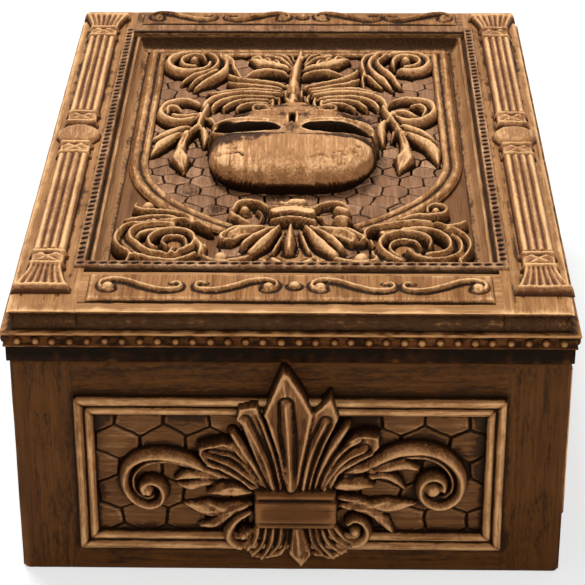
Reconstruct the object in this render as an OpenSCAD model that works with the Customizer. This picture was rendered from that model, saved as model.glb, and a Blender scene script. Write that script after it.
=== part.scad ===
// Carved box for a deck of tarot cards, with a lift-off lid.
// Origin at the bottom centre of the base, +Z up, +Y towards the far end, where the lid's skull faces.

/* [Base] */
// Outside width of the base, along X
base_w = 100; // [92:1:140]
// Outside length of the base, along Y
base_l = 150; // [140:1:200]
// Height of the walls
base_h = 44.5; // [38:0.5:60]
// Thickness of the walls
wall_t = 5; // [4:0.25:7]
// Thickness of the bottom board
floor_t = 4; // [3:0.5:6]
// Thickness of the felt pad under the bottom board
pad_t = 1; // [0.6:0.1:2]
// Thickness of the felt linings in the base and in the lid
felt_t = 0.8; // [0.5:0.1:1.5]
// Thickness of the liner boards
liner_t = 1.5; // [1:0.25:2.5]
// How far the liner stands above the walls, to locate the lid
liner_rise = 2.4; // [1.5:0.1:3]

/* [Panels] */
// Plain wall at each end of a panel
panel_side = 11.25; // [8:0.25:20]
// Plain wall above a panel
panel_over = 7; // [5:0.25:12]
// Plain wall below a panel
panel_under = 5.5; // [4:0.25:10]
// Width of the panel moulding
frame_w = 3.6; // [2.5:0.1:5]
// How far the panel moulding stands off the wall
frame_proud = 1.6; // [1:0.1:2.5]
// Thickness of the honeycomb panels let into the walls
field_t = 1.5; // [1:0.1:2.5]
// How far a honeycomb panel runs behind its moulding
field_lap = 1; // [0.5:0.1:2]
// Wall left between the top of the cartouche and the lid
finial_gap = 0.8; // [0.5:0.1:3]
// How far the cartouche stands off the wall at its highest
cartouche_proud = 4; // [2.5:0.25:6]

/* [Lid] */
// How far the lid's skirt stands out past the walls
skirt_out = 0.3; // [0:0.1:1.5]
// Height of the plain lip of the skirt
lip_h = 3.1; // [2:0.1:5]
// Height of the beaded band above the lip
band_h = 2.6; // [2.2:0.1:4]
// How far the beaded band stands out past the lip
band_out = 0.4; // [0.2:0.1:1]
// Thickness of the ledge above the beads
ledge_t = 0.5; // [0.3:0.1:1]
// Thickness of the lid board
lid_board_t = 2.4; // [1.8:0.1:4]
// Thickness of the lid's frame boards, which is the depth of its recess
lid_frame_t = 4.1; // [3.2:0.1:6]
// How far the edge of the frame boards is set back from the ledge
frame_back = 1.4; // [0.5:0.1:2.5]
// Width of the side boards of the lid's frame
stile_w = 12.2; // [11:0.1:16]
// Width of the near board of the lid's frame
near_rail_w = 18; // [16:0.5:26]
// Width of the far board of the lid's frame
far_rail_w = 14.2; // [13:0.1:22]
// Gap between the liner and the lid's skirt
skirt_gap = 0.4; // [0.2:0.05:1]

/* [Beads] */
// Radius of the beads round the skirt
bead_r = 0.9; // [0.6:0.1:1.2]
// Distance between the beads round the skirt
bead_pitch = 3.1; // [2.4:0.1:6]
// Width of the pitted strip round the recess
strip_w = 1.9; // [1.2:0.1:3]
// Height of the pitted strip over the frame boards
strip_h = 0.6; // [0.3:0.1:1.2]

/* [Recess] */
// Width of the hollow moulding inside the recess
cove_w = 3.4; // [2:0.1:5]
// Width of the groove between the hollow moulding and the pitted strip
cove_groove = 1; // [0.5:0.1:1.5]
// Depth of that groove
cove_drop = 1.6; // [0.8:0.1:2.4]
// Width of the groove between the near plaque and the pitted strip
groove_w = 1.4; // [0.8:0.1:2]
// Depth of that groove
groove_d = 1.5; // [0.8:0.1:2.5]
// Thickness of the honeycomb panel in the recess
lid_field_t = 0.6; // [0.4:0.1:1.2]
// Width of the arch moulding
arch_w = 4; // [3:0.1:5]
// Height of the arch moulding over the floor of the recess
arch_h = 1.6; // [1:0.1:3]
// Height of the scrolls and leaves over what they stand on
carving_h = 2.8; // [1.5:0.1:4]
// Height of the skull over the honeycomb panel
skull_h = 7.8; // [5:0.1:10]

/* [Columns] */
// Width of a column's shaft
shaft_w = 6; // [4.5:0.1:7.5]
// Height of a column's shaft over the frame boards
shaft_h = 1.9; // [1.2:0.1:3]
// Number of reeds on a shaft
reeds = 3; // [2:1:5]
// Width of the knop in the middle of a column
knop_w = 9; // [7:0.1:10]
// Width of the flared ends of a column
flare_w = 9.6; // [7.5:0.1:10]
// Length of a flared end
flare_l = 9; // [6:0.5:14]
// Length of a crossed band
cross_l = 5.5; // [4:0.5:8]
// Plain board between a column's end and the edge of the lid
column_end_gap = 5.8; // [4:0.1:10]
// Plain board between a column and the lid's side edge
column_side_gap = 0.6; // [0.2:0.1:1.5]

/* [Plaques] */
// Thickness of the plaques
plaque_t = 0.7; // [0.4:0.1:1.2]
// Width of the near plaque
plaque_near_w = 10.2; // [8:0.1:12]
// Width of the far plaque
plaque_far_w = 7; // [6.5:0.1:9]
// Plain board between a plaque and the edge of the lid
plaque_gap = 2.8; // [1.5:0.1:4]
// Height of the scrolls over their plaque
plaque_scroll_h = 0.9; // [0.5:0.1:1.5]

/* [Hidden] */

// The four sides, by the way each one faces
NEAR = [0, -1];
RIGHT = [1, 0];
FAR = [0, 1];
LEFT = [-1, 0];
cove_crest = 0.8; // height of the hollow moulding's crest over its groove
cove_foot = 0.3;  // thickness of the hollow moulding at its thin edge
cut = 0.1; // how far a cutting solid runs past the face that it cuts
fit = 0.1; // gap round a piece let into another
lap = 0.5; // how far two parts of one carved piece run into each other
ledge_out = 0.5;    // how far the ledge stands out past the beaded band
liner_clear = 0.3;  // gap between the liner and the lid's lining
cove_rim = 0.3;     // width of the hollow moulding's crest
arch_gap = 0.2;     // gap between the arch moulding and the hollow moulding

// Heights of the stack
floor_z = pad_t + floor_t;
skirt_z = base_h;
band_z = skirt_z + lip_h;
ledge_z = band_z + band_h;
deck_z = ledge_z + ledge_t;       // top of the ledge and of the lid board
lid_under_z = deck_z - lid_board_t;
frame_top_z = deck_z + lid_frame_t;
liner_top_z = min(base_h + liner_rise, lid_under_z - felt_t - liner_clear);

// Distances of the lid's faces from the middle of a base whose half breadth is b
function lip_at(b) = b + skirt_out;
function band_at(b) = lip_at(b) + band_out;
function ledge_at(b) = band_at(b) + ledge_out;
function board_at(b) = ledge_at(b) - frame_back;
function skirt_in_at(b) = b - wall_t + skirt_gap;
half_w = base_w / 2;
half_l = base_l / 2;

// The recess of the lid
open_w = board_at(half_w) - stile_w;
open_near = board_at(half_l) - near_rail_w;
open_far = board_at(half_l) - far_rail_w;
open_l = (open_near + open_far) / 2;
open_y = (open_far - open_near) / 2;

// The centre line of the arch in the recess
arch_x = open_w - cove_w - 2 * arch_gap - arch_w / 2;
arch_far = open_l - cove_w - arch_gap - arch_w / 2;

// The carvings are drawn inside an arch that is 59.6 wide and reaches 51.1 beyond the middle of the
// recess, and follow the real one
grow_x = (arch_x - arch_w / 2) / 29.8;
grow_y = (arch_far - arch_w / 2) / 51.1;

panel_h = base_h - panel_over - panel_under;
panel_z = panel_under + panel_h / 2;
function panel_half(side) = along(side) - panel_side;

// Half the length of a side, and the distance of its face from the middle
function along(side) = side[0] == 0 ? half_w : half_l;
function across(side) = side[0] == 0 ? half_l : half_w;

// Curves
function curve(a, b, c, n = 6) =
  [for (i = [0 : n]) let (t = i / n) (1 - t) * (1 - t) * a + 2 * t * (1 - t) * b + t * t * c];
function bow(a, b, c, d, n = 7) =
  [for (i = [0 : n]) let (t = i / n, s = 1 - t)
    s * s * s * a + 3 * s * s * t * b + 3 * s * t * t * c + t * t * t * d];
function spiral(centre, r0, r1, a0, a1, n = 12) =
  [for (i = [0 : n]) let (t = i / n, r = r0 * pow(r1 / r0, t), a = a0 + (a1 - a0) * t)
    centre + r * [cos(a), sin(a)]];
function coil(centre, r0, r1, a0, a1, n = 12) =
  [for (i = [0 : n]) let (t = i / n, r = r0 + (r1 - r0) * t, a = a0 + (a1 - a0) * t)
    centre + r * [cos(a), sin(a)]];
function reversed(p) = [for (i = [len(p) - 1 : -1 : 0]) p[i]];
function flipped(p) = [for (q = p) [-q[0], q[1]]];

// Lines at a distance w to the left of an open line, mitred at its corners
function unit(v) = v / norm(v);
function left_of(v) = [-v[1], v[0]];
function mitre(p, i) =
  let (n = len(p) - 1,
    before = left_of(unit(p[max(i, 1)] - p[max(i - 1, 0)])),
    after = left_of(unit(p[min(i + 1, n)] - p[min(i, n - 1)])),
    m = unit(before + after))
  m / (m * before);
function beside(p, w) = [for (i = [0 : len(p) - 1]) p[i] + w * mitre(p, i)];
function ribbon(p, w) = concat(beside(p, w), reversed(beside(p, -w)));

// Turns what is drawn at the near side to the given side
module turned(side) {
  rotate([0, 0, atan2(side[0], -side[1])]) children();
}

// Puts what is drawn on a flat panel, X along it and Y up, on the outer face of a wall
module on_wall(side) {
  turned(side) translate([0, -across(side), panel_z]) rotate([90, 0, 0]) children();
}

// A length of moulding along one side, mitred at both ends. Its section is a list of
// [distance from the middle, height], and flank is the difference between half length and distance.
module stick(side, section, flank) {
  out = [for (p = section) p[0]];
  up = [for (p = section) p[1]];
  near = min(out);
  far = max(out);
  turned(side) intersection() {
    rotate([90, 0, 90]) translate([0, 0, -far - flank])
      linear_extrude(2 * (far + flank)) polygon([for (p = section) [-p[0], p[1]]]);
    translate([0, 0, min(up)]) linear_extrude(max(up) - min(up))
      polygon([[-near - flank, -near], [-far - flank, -far], [far + flank, -far], [near + flank, -near]]);
  }
}

function flank_of(side) = along(side) - across(side);

module block(from, to) {
  translate(from) cube(to - from);
}

// Base

module floor_board() {
  x = half_w - wall_t;
  y = half_l - wall_t;
  color("#4a2d14") block([-x, -y, pad_t], [x, y, floor_z]);
}

module base_felt() {
  x = half_w - wall_t;
  y = half_l - wall_t;
  color("#1c1a19") block([-x, -y, 0], [x, y, pad_t]);
}

module floor_felt() {
  x = half_w - wall_t - liner_t - fit;
  y = half_l - wall_t - liner_t - fit;
  color("#1c1a19") block([-x, -y, floor_z], [x, y, floor_z + felt_t]);
}

module wall(side) {
  d = across(side);
  half = panel_half(side) - frame_w + field_lap + fit;
  tall = panel_h / 2 - frame_w + field_lap + fit;
  color("#55351b") difference() {
    stick(side, [[d - wall_t, 0], [d, 0], [d, base_h], [d - wall_t, base_h]], flank_of(side));
    on_wall(side) block([-half, -tall, -field_t], [half, tall, cut]);
  }
}

module liner(side) {
  d = across(side) - wall_t;
  color("#3f2612")
    stick(side, [[d - liner_t, floor_z], [d, floor_z], [d, liner_top_z], [d - liner_t, liner_top_z]],
      flank_of(side));
}

module field(side) {
  half = panel_half(side) - frame_w + field_lap;
  tall = panel_h / 2 - frame_w + field_lap;
  color("#5c3a1e") on_wall(side) block([-half, -tall, -field_t], [half, tall, 0]);
}

module panel_ring(side, inset, proud) {
  half = panel_half(side) - inset;
  tall = panel_h / 2 - inset;
  in = panel_half(side) - frame_w;
  in_tall = panel_h / 2 - frame_w;
  difference() {
    block([-half, -tall, 0], [half, tall, proud]);
    block([-in, -in_tall, -cut], [in, in_tall, proud + cut]);
  }
}

// An outer ridge, a groove and a lower inner ridge
module frame(side) {
  groove = frame_w * 0.5;
  color("#8a5c2e") on_wall(side) {
    panel_ring(side, 0, frame_proud * 0.75);
    panel_ring(side, frame_w * 0.6, frame_proud * 0.85);
    difference() {
      panel_ring(side, frame_w * 0.08, frame_proud);
      block([-panel_half(side) + groove, -panel_h / 2 + groove, -cut],
        [panel_half(side) - groove, panel_h / 2 - groove, frame_proud + cut]);
    }
  }
}

// A carved ridge with a sharp crest along a line. w and h are [start, end] half width and height.
module ridge(points, w, h) {
  n = len(points) - 1;
  rings = [for (i = [0 : n]) let (t = i / n, at = points[i],
      out = mitre(points, i) * (w[0] + (w[1] - w[0]) * t))
    [concat(at + out, 0), concat(at, h[0] + (h[1] - h[0]) * t), concat(at - out, 0)]];
  sides = [for (i = [0 : n - 1]) for (j = [0 : 2])
    let (a = 3 * i + j, b = 3 * i + (j + 1) % 3)
      for (face = [[a, a + 3, b + 3], [a, b + 3, b]]) face];
  polyhedron([for (r = rings) for (v = r) v],
    concat([[0, 1, 2]], sides, [[3 * n + 2, 3 * n + 1, 3 * n]]));
}

module peak(at, w, h, turn) {
  translate([at[0], at[1], 0]) rotate([0, 0, turn]) cylinder(r1 = w, r2 = 0, h = h, $fn = 4);
}

// A leaf from its stalk to its tip, at its widest and highest in the middle point
module leaf(stalk, middle, tip, w, h) {
  first = middle - stalk;
  last = tip - middle;
  turn = atan2(first[1] + last[1], first[0] + last[0]);
  hull() {
    peak(stalk, w * 0.4, h * 0.7, turn);
    peak(middle, w, h, turn);
  }
  hull() {
    peak(middle, w, h, turn);
    peak(tip, w * 0.15, h * 0.6, turn);
  }
}

// A domed boss
module boss(at, r, h) {
  translate([at[0], at[1], 0]) hull() {
    cylinder(r = r, h = h * 0.5, $fn = 8);
    cylinder(r = r * 0.5, h = h, $fn = 8);
  }
}

module both_sides() {
  children();
  mirror([1, 0, 0]) children();
}

// The line of the big side scroll, from its stem round an upright oval that closes on its eye
scroll_coil = concat(bow([8, -0.5], [13, 0.5], [16, 5.2], [23.6, 5], 4), [
  [26.6, 4.9], [29, 3.6], [30.6, 0.6], [30.8, -2.4], [29.4, -5], [27, -5.8], [24.8, -5], [23.6, -2.8],
  [24.2, -0.8], [26, -0.2]
]);

module cartouche_drawing(h) {
  leaf([0, -2], [0, 13.5], [0, 22.2], 4.2, h * 0.85);
  both_sides() {
    ridge(curve([1.4, -2], [4, 10], [7, 13.5], 2), [1.3, 2.2], [h * 0.6, h * 0.75]);
    leaf([5.5, 11], [7.2, 14], [8.6, 17.5], 2.4, h * 0.75);
    ridge(curve([3, -2], [6.5, 6], [9.6, 9.5], 2), [1.3, 1.9], [h * 0.55, h * 0.7]);
    leaf([7.6, 5.8], [9.4, 8.4], [10.8, 10.6], 1.8, h * 0.7);
    ridge(curve([4.6, -2], [8.4, 3.5], [12.4, 5.6], 3), [1.3, 2.2], [h * 0.5, h * 0.7]);
    leaf([10.6, 5.2], [13.6, 7], [16.6, 7.8], 2.6, h * 0.7);
    // leaves beside the tablet
    leaf([7.4, -3.5], [12, -2], [15.5, -2.5], 2.1, h * 0.75);
    leaf([7.4, -6], [14.5, -6.8], [21, -6.2], 1.8, h * 0.6);
    leaf([8.5, -7.4], [13.8, -8.8], [18, -11.8], 1.6, h * 0.55);
    // small scrolls and the lower fan
    ridge(spiral([10.8, -12.6], 3.1, 0.9, 150, -300, 9), [1.1, 0.7], [h * 0.6, h * 0.5]);
    leaf([2, -9.5], [4.2, -13.5], [7.4, -17.8], 1.7, h * 0.75);
    // the big side scroll
    ridge(scroll_coil, [1.2, 1], [h * 0.58, h * 0.63]);
    boss([26.2, -2.6], 1.8, h * 0.7);
  }
  leaf([0, -9], [0, -13.5], [0.4, -19.4], 2.2, h * 0.65);
  // the tablet
  block([-7.6, -10, 0], [7.6, -1.6, h * 0.8]);
  block([-7, -8.6, 0], [7, -3, h]);
}

// Drawn on a panel 70.2 wide and 24.8 tall inside its moulding, with its finial 22.2 above the middle
module cartouche(side) {
  grow = min((base_h - panel_z - finial_gap) / 22.2, (panel_h / 2 - frame_w) / 12.4,
    (panel_half(side) - frame_w) / 35.1);
  color("#8f6233") on_wall(side) difference() {
    scale([grow, grow, 1]) cartouche_drawing(cartouche_proud);
    panel_ring(side, 0, frame_proud);
  }
}

// Lid

module lid_board() {
  x = skirt_in_at(half_w);
  y = skirt_in_at(half_l);
  color("#4a2d14") block([-x, -y, lid_under_z], [x, y, deck_z]);
}

module lid_lining() {
  x = skirt_in_at(half_w) - fit;
  y = skirt_in_at(half_l) - fit;
  color("#1c1a19") block([-x, -y, lid_under_z - felt_t], [x, y, lid_under_z]);
}

module lid_edge(side) {
  b = across(side);
  flank = flank_of(side);
  run = ledge_at(b) + flank - bead_pitch;
  count = floor(2 * run / bead_pitch);
  color("#6b4523") {
    stick(side, [
      [skirt_in_at(b), skirt_z], [lip_at(b), skirt_z], [lip_at(b), band_z], [band_at(b), band_z],
      [band_at(b), ledge_z], [ledge_at(b), ledge_z], [ledge_at(b), deck_z - ledge_t * 0.4],
      [ledge_at(b) - ledge_t * 0.4, deck_z], [skirt_in_at(b), deck_z]
    ], flank);
    turned(side) for (i = [0 : count])
      translate([(i - count / 2) * bead_pitch, -band_at(b) + bead_r * 0.2, band_z + band_h / 2])
        sphere(r = bead_r, $fn = 24);
  }
}

// Section of the lid's frame boards, from the middle out: half breadth b, run of the worn top edge
function board_section(b, run) = let (lip = lid_frame_t * 0.25, hollow = lid_frame_t - lip) concat(
  [[0, 0]],
  [for (a = [-90 : 30 : 90]) [b - 0.25 - 0.9 * cos(a), hollow / 2 + hollow / 2 * sin(a)]],
  [[b, lid_frame_t - lip * 0.9], [b, lid_frame_t - lip * 0.6], [b - 0.4, lid_frame_t - lip * 0.35],
    [b - run, lid_frame_t], [0, lid_frame_t]]
);

module half_section(b, run, length) {
  points = board_section(b, run);
  translate([0, 0, deck_z]) rotate([90, 0, 90]) translate([0, 0, -length]) linear_extrude(2 * length)
    polygon(concat(points, flipped(reversed([for (p = points) if (p[0] > 0) p]))));
}

// The lid's frame boards as one block, before it is parted into rails and stiles
module frame_block() {
  intersection() {
    rotate([0, 0, 90]) half_section(board_at(half_w), 0.9, half_l + 5);
    half_section(board_at(half_l), column_end_gap - 1, half_w + 5);
  }
}

module lid_stile(sign) {
  color("#8a5c2e") intersection() {
    frame_block();
    if (sign > 0) block([open_w, -half_l - 5, deck_z], [half_w + 5, half_l + 5, frame_top_z]);
    else block([-half_w - 5, -half_l - 5, deck_z], [-open_w, half_l + 5, frame_top_z]);
  }
}

module lid_rail_near() {
  groove_y = -open_near - strip_w - groove_w;
  color("#8a5c2e") difference() {
    intersection() {
      frame_block();
      block([-open_w, -half_l - 5, deck_z], [open_w, -open_near, frame_top_z]);
    }
    block([-open_w - cut, groove_y, frame_top_z - groove_d],
      [open_w + cut, groove_y + groove_w, frame_top_z + cut]);
  }
}

module lid_rail_far() {
  color("#8a5c2e") intersection() {
    frame_block();
    block([-open_w, open_far, deck_z], [open_w, half_l + 5, frame_top_z]);
  }
}

// A strip mitred round the recess, drawn with the recess's centre as the middle
module recess_stick(side, section) {
  in = side[0] == 0 ? open_l : open_w;
  other = side[0] == 0 ? open_w : open_l;
  translate([0, open_y, 0]) stick(side, section, other - in);
}

module bead_strip(side) {
  d = side[0] == 0 ? open_l : open_w;
  color("#7a5029") recess_stick(side, [
    [d, frame_top_z], [d + strip_w, frame_top_z], [d + strip_w, frame_top_z + strip_h * 0.7],
    [d + strip_w * 0.7, frame_top_z + strip_h], [d + strip_w * 0.3, frame_top_z + strip_h],
    [d, frame_top_z + strip_h * 0.7]
  ]);
}

module far_moulding() {
  wide = far_rail_w - plaque_gap - plaque_far_w - fit;
  top = [for (a = [0 : 22.5 : 180]) [open_y + open_l + wide / 2 * (1 - cos(a)),
    frame_top_z + strip_h * sin(a)]];
  color("#7a5029") intersection() {
    rotate([90, 0, 90]) translate([0, 0, -open_w]) linear_extrude(2 * open_w) polygon(top);
    block([-open_w, open_far, frame_top_z], [open_w, open_far + wide, frame_top_z + 2]);
  }
}

// A groove, a crest and a hollow that runs down to the floor of the recess, in one ring. Its section
// is a list of [distance in from the edge of the recess, height].
module cove_frame() {
  groove_z = frame_top_z - cove_drop;
  crest_z = groove_z + cove_crest;
  low_z = deck_z + cove_foot;
  crest = cove_groove + cove_rim;
  section = concat([[0, deck_z], [0, groove_z], [cove_groove, groove_z]],
    [for (a = [0 : 22.5 : 90]) [cove_w - (cove_w - crest) * cos(a), crest_z - (crest_z - low_z) * sin(a)]],
    [[cove_w, deck_z]]);
  n = len(section);
  color("#6b4523") translate([0, open_y, 0]) polyhedron(
    [for (corner = [[1, 1], [-1, 1], [-1, -1], [1, -1]]) for (p = section)
      [corner[0] * (open_w - p[0]), corner[1] * (open_l - p[0]), p[1]]],
    [for (k = [0 : 3]) for (i = [0 : n - 1]) let (j = (i + 1) % n, next = (k + 1) % 4)
      [k * n + i, k * n + j, next * n + j, next * n + i]]);
}

// The arch, from its open near end round the far side and back
arch_side = curve([12.5 * grow_x, -38 * grow_y], [arch_x - 1.5 * grow_x, -26 * grow_y],
  [arch_x, -8 * grow_y], 8);
arch_line = concat(arch_side, [[arch_x, arch_far], [-arch_x, arch_far]], flipped(reversed(arch_side)));

module on_recess(z) {
  translate([0, open_y, deck_z + z]) children();
}

module arch_solid(spare, extra) {
  linear_extrude(arch_h + extra) polygon(ribbon(arch_line, arch_w / 2 + spare));
}

module lid_field() {
  color("#5c3a1e") on_recess(0) difference() {
    union() {
      linear_extrude(lid_field_t) polygon(beside(arch_line, arch_w / 2));
      intersection() {
        scale([grow_x, grow_y, 1]) knot_space();
        block([-open_w, -open_l, 0], [open_w, -37 * grow_y, lid_field_t]);
      }
    }
    translate([0, 0, -cut]) arch_solid(0, 1);
  }
}

module arch_moulding() {
  color("#9a6c3a") on_recess(0) {
    linear_extrude(arch_h * 0.6) polygon(ribbon(arch_line, arch_w / 2));
    linear_extrude(arch_h) polygon(ribbon(beside(arch_line, -arch_w * 0.24), arch_w * 0.2));
    linear_extrude(arch_h * 0.9) polygon(ribbon(beside(arch_line, arch_w * 0.28), arch_w * 0.17));
  }
}

// A carving in the recess: drawn on the drawn recess, kept off the arch
module lid_carving(z, shade) {
  color(shade) on_recess(z) difference() {
    scale([grow_x, grow_y, 1]) children();
    translate([0, 0, -z - cut]) arch_solid(0.02, carving_h * 2);
  }
}

module crown_palmette() {
  h = carving_h;
  lid_carving(lid_field_t, "#b07c42") {
    ridge([[0, 27], [0, 40], [0, 51.6]], [1.7, 0.8], [h, h * 0.8]);
    both_sides() {
      ridge(curve([0.4, 43], [2.2, 47], [4.4, 51], 3), [0.7, 0.8], [h * 0.8, h * 0.6]);
      ridge(curve([0.6, 42], [4, 46], [8.2, 50], 3), [0.7, 0.9], [h * 0.8, h * 0.6]);
      leaf([1, 41], [7.6, 45], [11.4, 47.6], 2, h * 0.8);
      ridge(curve([1, 37], [6, 42], [11.4, 38.8], 4), [1, 0.6], [h * 0.8, h * 0.5]);
      ridge([[2, 30], [3.8, 26.4], [5.6, 22.4]], [1, 0.9], [h * 0.6, h * 0.5]);
      ridge(curve([1.6, 30.5], [10.4, 31.5], [13.4, 38.4], 5), [0.9, 0.8], [h * 0.8, h * 0.7]);
      ridge(curve([2.2, 28.8], [10.6, 28.6], [15.2, 34.4], 5), [0.9, 0.7], [h * 0.7, h * 0.5]);
      ridge(curve([3, 27.4], [10, 26.8], [18.6, 29], 4), [0.9, 0.7], [h * 0.7, h * 0.5]);
      ridge(curve([4, 26], [15, 27], [18.4, 21], 5), [0.9, 0.8], [h * 0.8, h * 0.6]);
      ridge(curve([4.6, 24.4], [13, 25.6], [16.8, 19.6], 5), [0.8, 0.7], [h * 0.7, h * 0.5]);
      ridge(curve([5, 22.8], [10.6, 23.4], [14, 18.8], 4), [0.8, 0.6], [h * 0.6, h * 0.5]);
    }
  }
}

module spray(sign) {
  h = carving_h;
  lid_carving(lid_field_t, "#a67440") scale([sign, 1, 1]) {
    ridge(spiral([24.6, 16.4], 4.6, 1.2, -150, 250, 11), [1.1, 0.9], [h * 0.9, h * 0.7]);
    ridge(curve([20.4, 16.4], [20.6, 23.6], [25.6, 23.8], 5), [0.7, 0.8], [h * 0.6, h * 0.7]);
    ridge(curve([19.6, 17], [19, 14], [21.4, 10], 3), [1.2, 1.4], [h * 0.7, h * 0.9]);
    leaf([20.6, 12], [25.5, 6.5], [29.4, 2.6], 1.5, h * 0.8);
    leaf([20.8, 11], [25.2, 0], [28, -6.6], 1.8, h * 0.9);
    leaf([20.8, 10], [21.6, -4.5], [21.6, -13], 2, h);
    leaf([20.4, 10], [18.4, 6], [18.2, 0.6], 1.3, h * 0.6);
  }
}

module far_scroll(sign) {
  h = carving_h;
  lid_carving(lid_field_t, "#a67440") scale([sign, 1, 1]) {
    ridge(spiral([24.2, 45.2], 4.7, 1, 130, -330, 12), [1.2, 0.9], [h * 0.9, h * 0.7]);
    ridge(bow([21.4, 49.6], [14.4, 50.4], [15.4, 40], [18.8, 33.4], 6), [1, 1.1], [h * 0.9, h * 0.6]);
    ridge(bow([19.2, 46.4], [16.8, 42], [18.6, 38], [21.4, 32.6], 5), [0.9, 1], [h * 0.8, h * 0.5]);
    leaf([17, 40], [18.6, 35], [21.8, 31.2], 1.6, h * 0.6);
    leaf([19.6, 40], [21.6, 35.4], [24.6, 31.6], 1.5, h * 0.6);
    boss([24.2, 45.2], 1.7, h * 0.8);
    boss([19.4, 51], 1.2, h * 0.6);
  }
}

module shell_knot() {
  h = carving_h;
  lid_carving(lid_field_t, "#b07c42") intersection() {
    union() {
      boss([0, -28.8], 1.9, h * 0.7);
      hull() {
        translate([-3.4, -31.6, 0]) cylinder(r = 1.2, h = h, $fn = 8);
        translate([3.4, -31.6, 0]) cylinder(r = 1.2, h = h, $fn = 8);
        translate([-4, -37, 0]) cylinder(r = 1.2, h = h, $fn = 8);
        translate([4, -37, 0]) cylinder(r = 1.2, h = h, $fn = 8);
      }
      leaf([0, -38], [0, -44], [0, -51], 1.8, h);
      both_sides() {
        leaf([1.8, -38], [5, -44.5], [9, -51], 1.8, h);
        leaf([3.4, -37.6], [8.4, -42], [12.6, -47], 2.2, h);
        ridge(spiral([7.8, -33.4], 3.2, 1, 160, -200, 7), [0.9, 0.8], [h * 0.8, h * 0.7]);
        boss([8, -36.4], 1.8, h * 0.7);
        ridge(spiral([11.8, -51], 2.3, 0.8, -200, 120, 6), [0.9, 0.8], [h * 0.7, h * 0.6]);
      }
    }
    knot_space();
  }
}

// The knot's share of the recess, between the near scrolls. The honeycomb panel runs on under it.
module knot_space() {
  block([-14.4, -54.6, -cut], [14.4, -26.6, 10]);
}

module near_scroll(sign) {
  h = carving_h + lid_field_t;
  lid_carving(0, "#a67440") scale([sign, 1, 1]) difference() {
    union() {
      ridge(coil([24, -45.6], 9.2, 2.6, 130, -400, 20), [1.2, 0.9], [h * 0.9, h * 0.8]);
      ridge(curve([15.6, -40], [20, -33.4], [28.8, -33], 4), [1, 1], [h * 0.7, h * 0.7]);
      ridge(spiral([28.4, -30.6], 2.2, 0.8, -110, 200, 6), [0.8, 0.8], [h * 0.7, h * 0.7]);
      leaf([28, -37], [32.4, -36.6], [33.4, -32.6], 1.2, h * 0.6);
      leaf([31.6, -40], [33, -37.4], [33, -33], 1, h * 0.5);
      leaf([30, -51], [32.4, -52.8], [33, -54.2], 1.2, h * 0.5);
      boss([24.3, -45.4], 2, h * 0.8);
      boss([28.4, -30.6], 1.1, h * 0.7);
    }
    knot_space();
  }
}

module skull() {
  z = skull_h;
  lid_carving(lid_field_t, "#b5854b") intersection() {
    difference() {
      union() {
        // cranium
        hull() {
          translate([0, -12, z - 8]) sphere(r = 8, $fn = 20);
          for (e = [-1, 1]) {
            translate([e * 8.8, -10, z - 8.4]) sphere(r = 8, $fn = 20);
            translate([e * 6.4, -16.2, z - 8.2]) sphere(r = 6.5, $fn = 20);
          }
        }
        // brow and cheekbones
        both_sides() {
          hull() {
            translate([13.4, -5.4, z - 5.4]) sphere(r = 3, $fn = 12);
            translate([0, -4, z - 4]) sphere(r = 3, $fn = 12);
          }
          hull() {
            translate([14.4, -3, z - 6]) sphere(r = 2.4, $fn = 12);
            translate([9, 5.2, z - 5]) sphere(r = 2.4, $fn = 12);
          }
        }
        // the middle of the face
        hull() {
          translate([0, -2, z - 4.4]) sphere(r = 2.6, $fn = 12);
          translate([-8, 6, z - 5.2]) sphere(r = 3, $fn = 12);
          translate([8, 6, z - 5.2]) sphere(r = 3, $fn = 12);
          translate([0, 18.6, z - 6.4]) sphere(r = 2.6, $fn = 12);
        }
      }
      // eye sockets
      both_sides() hull() {
        translate([4.8, -0.4, z - 1.8]) sphere(r = 2.6, $fn = 12);
        translate([11.8, -1.2, z - 2.8]) sphere(r = 2.6, $fn = 12);
      }
      // nose
      hull() {
        translate([0, 6, z - 2.6]) sphere(r = 0.8, $fn = 12);
        translate([0, 10, z - 3]) sphere(r = 0.8, $fn = 12);
      }
    }
    block([-30, -40, 0], [30, 40, 20]);
  }
}

// Columns. Drawn with X across, Y along and Z up from the top of the frame boards.

module rod(x, y0, y1, r, z) {
  translate([x, y0, z]) rotate([-90, 0, 0]) cylinder(r = r, h = y1 - y0, $fn = 24);
}

module ring_across(y, wide, r, z) {
  translate([-wide / 2, y, z]) rotate([0, 90, 0]) cylinder(r = r, h = wide, $fn = 24);
}

// A band between two rings
module crossed_band(y) {
  h = shaft_h * 0.75;
  block([-shaft_w / 2, y - cross_l / 2, 0], [shaft_w / 2, y + cross_l / 2, h]);
  for (e = [-1, 1]) ring_across(y + e * (cross_l / 2 - 0.6), shaft_w + 0.8, 0.8, h - 0.3);
}

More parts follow.
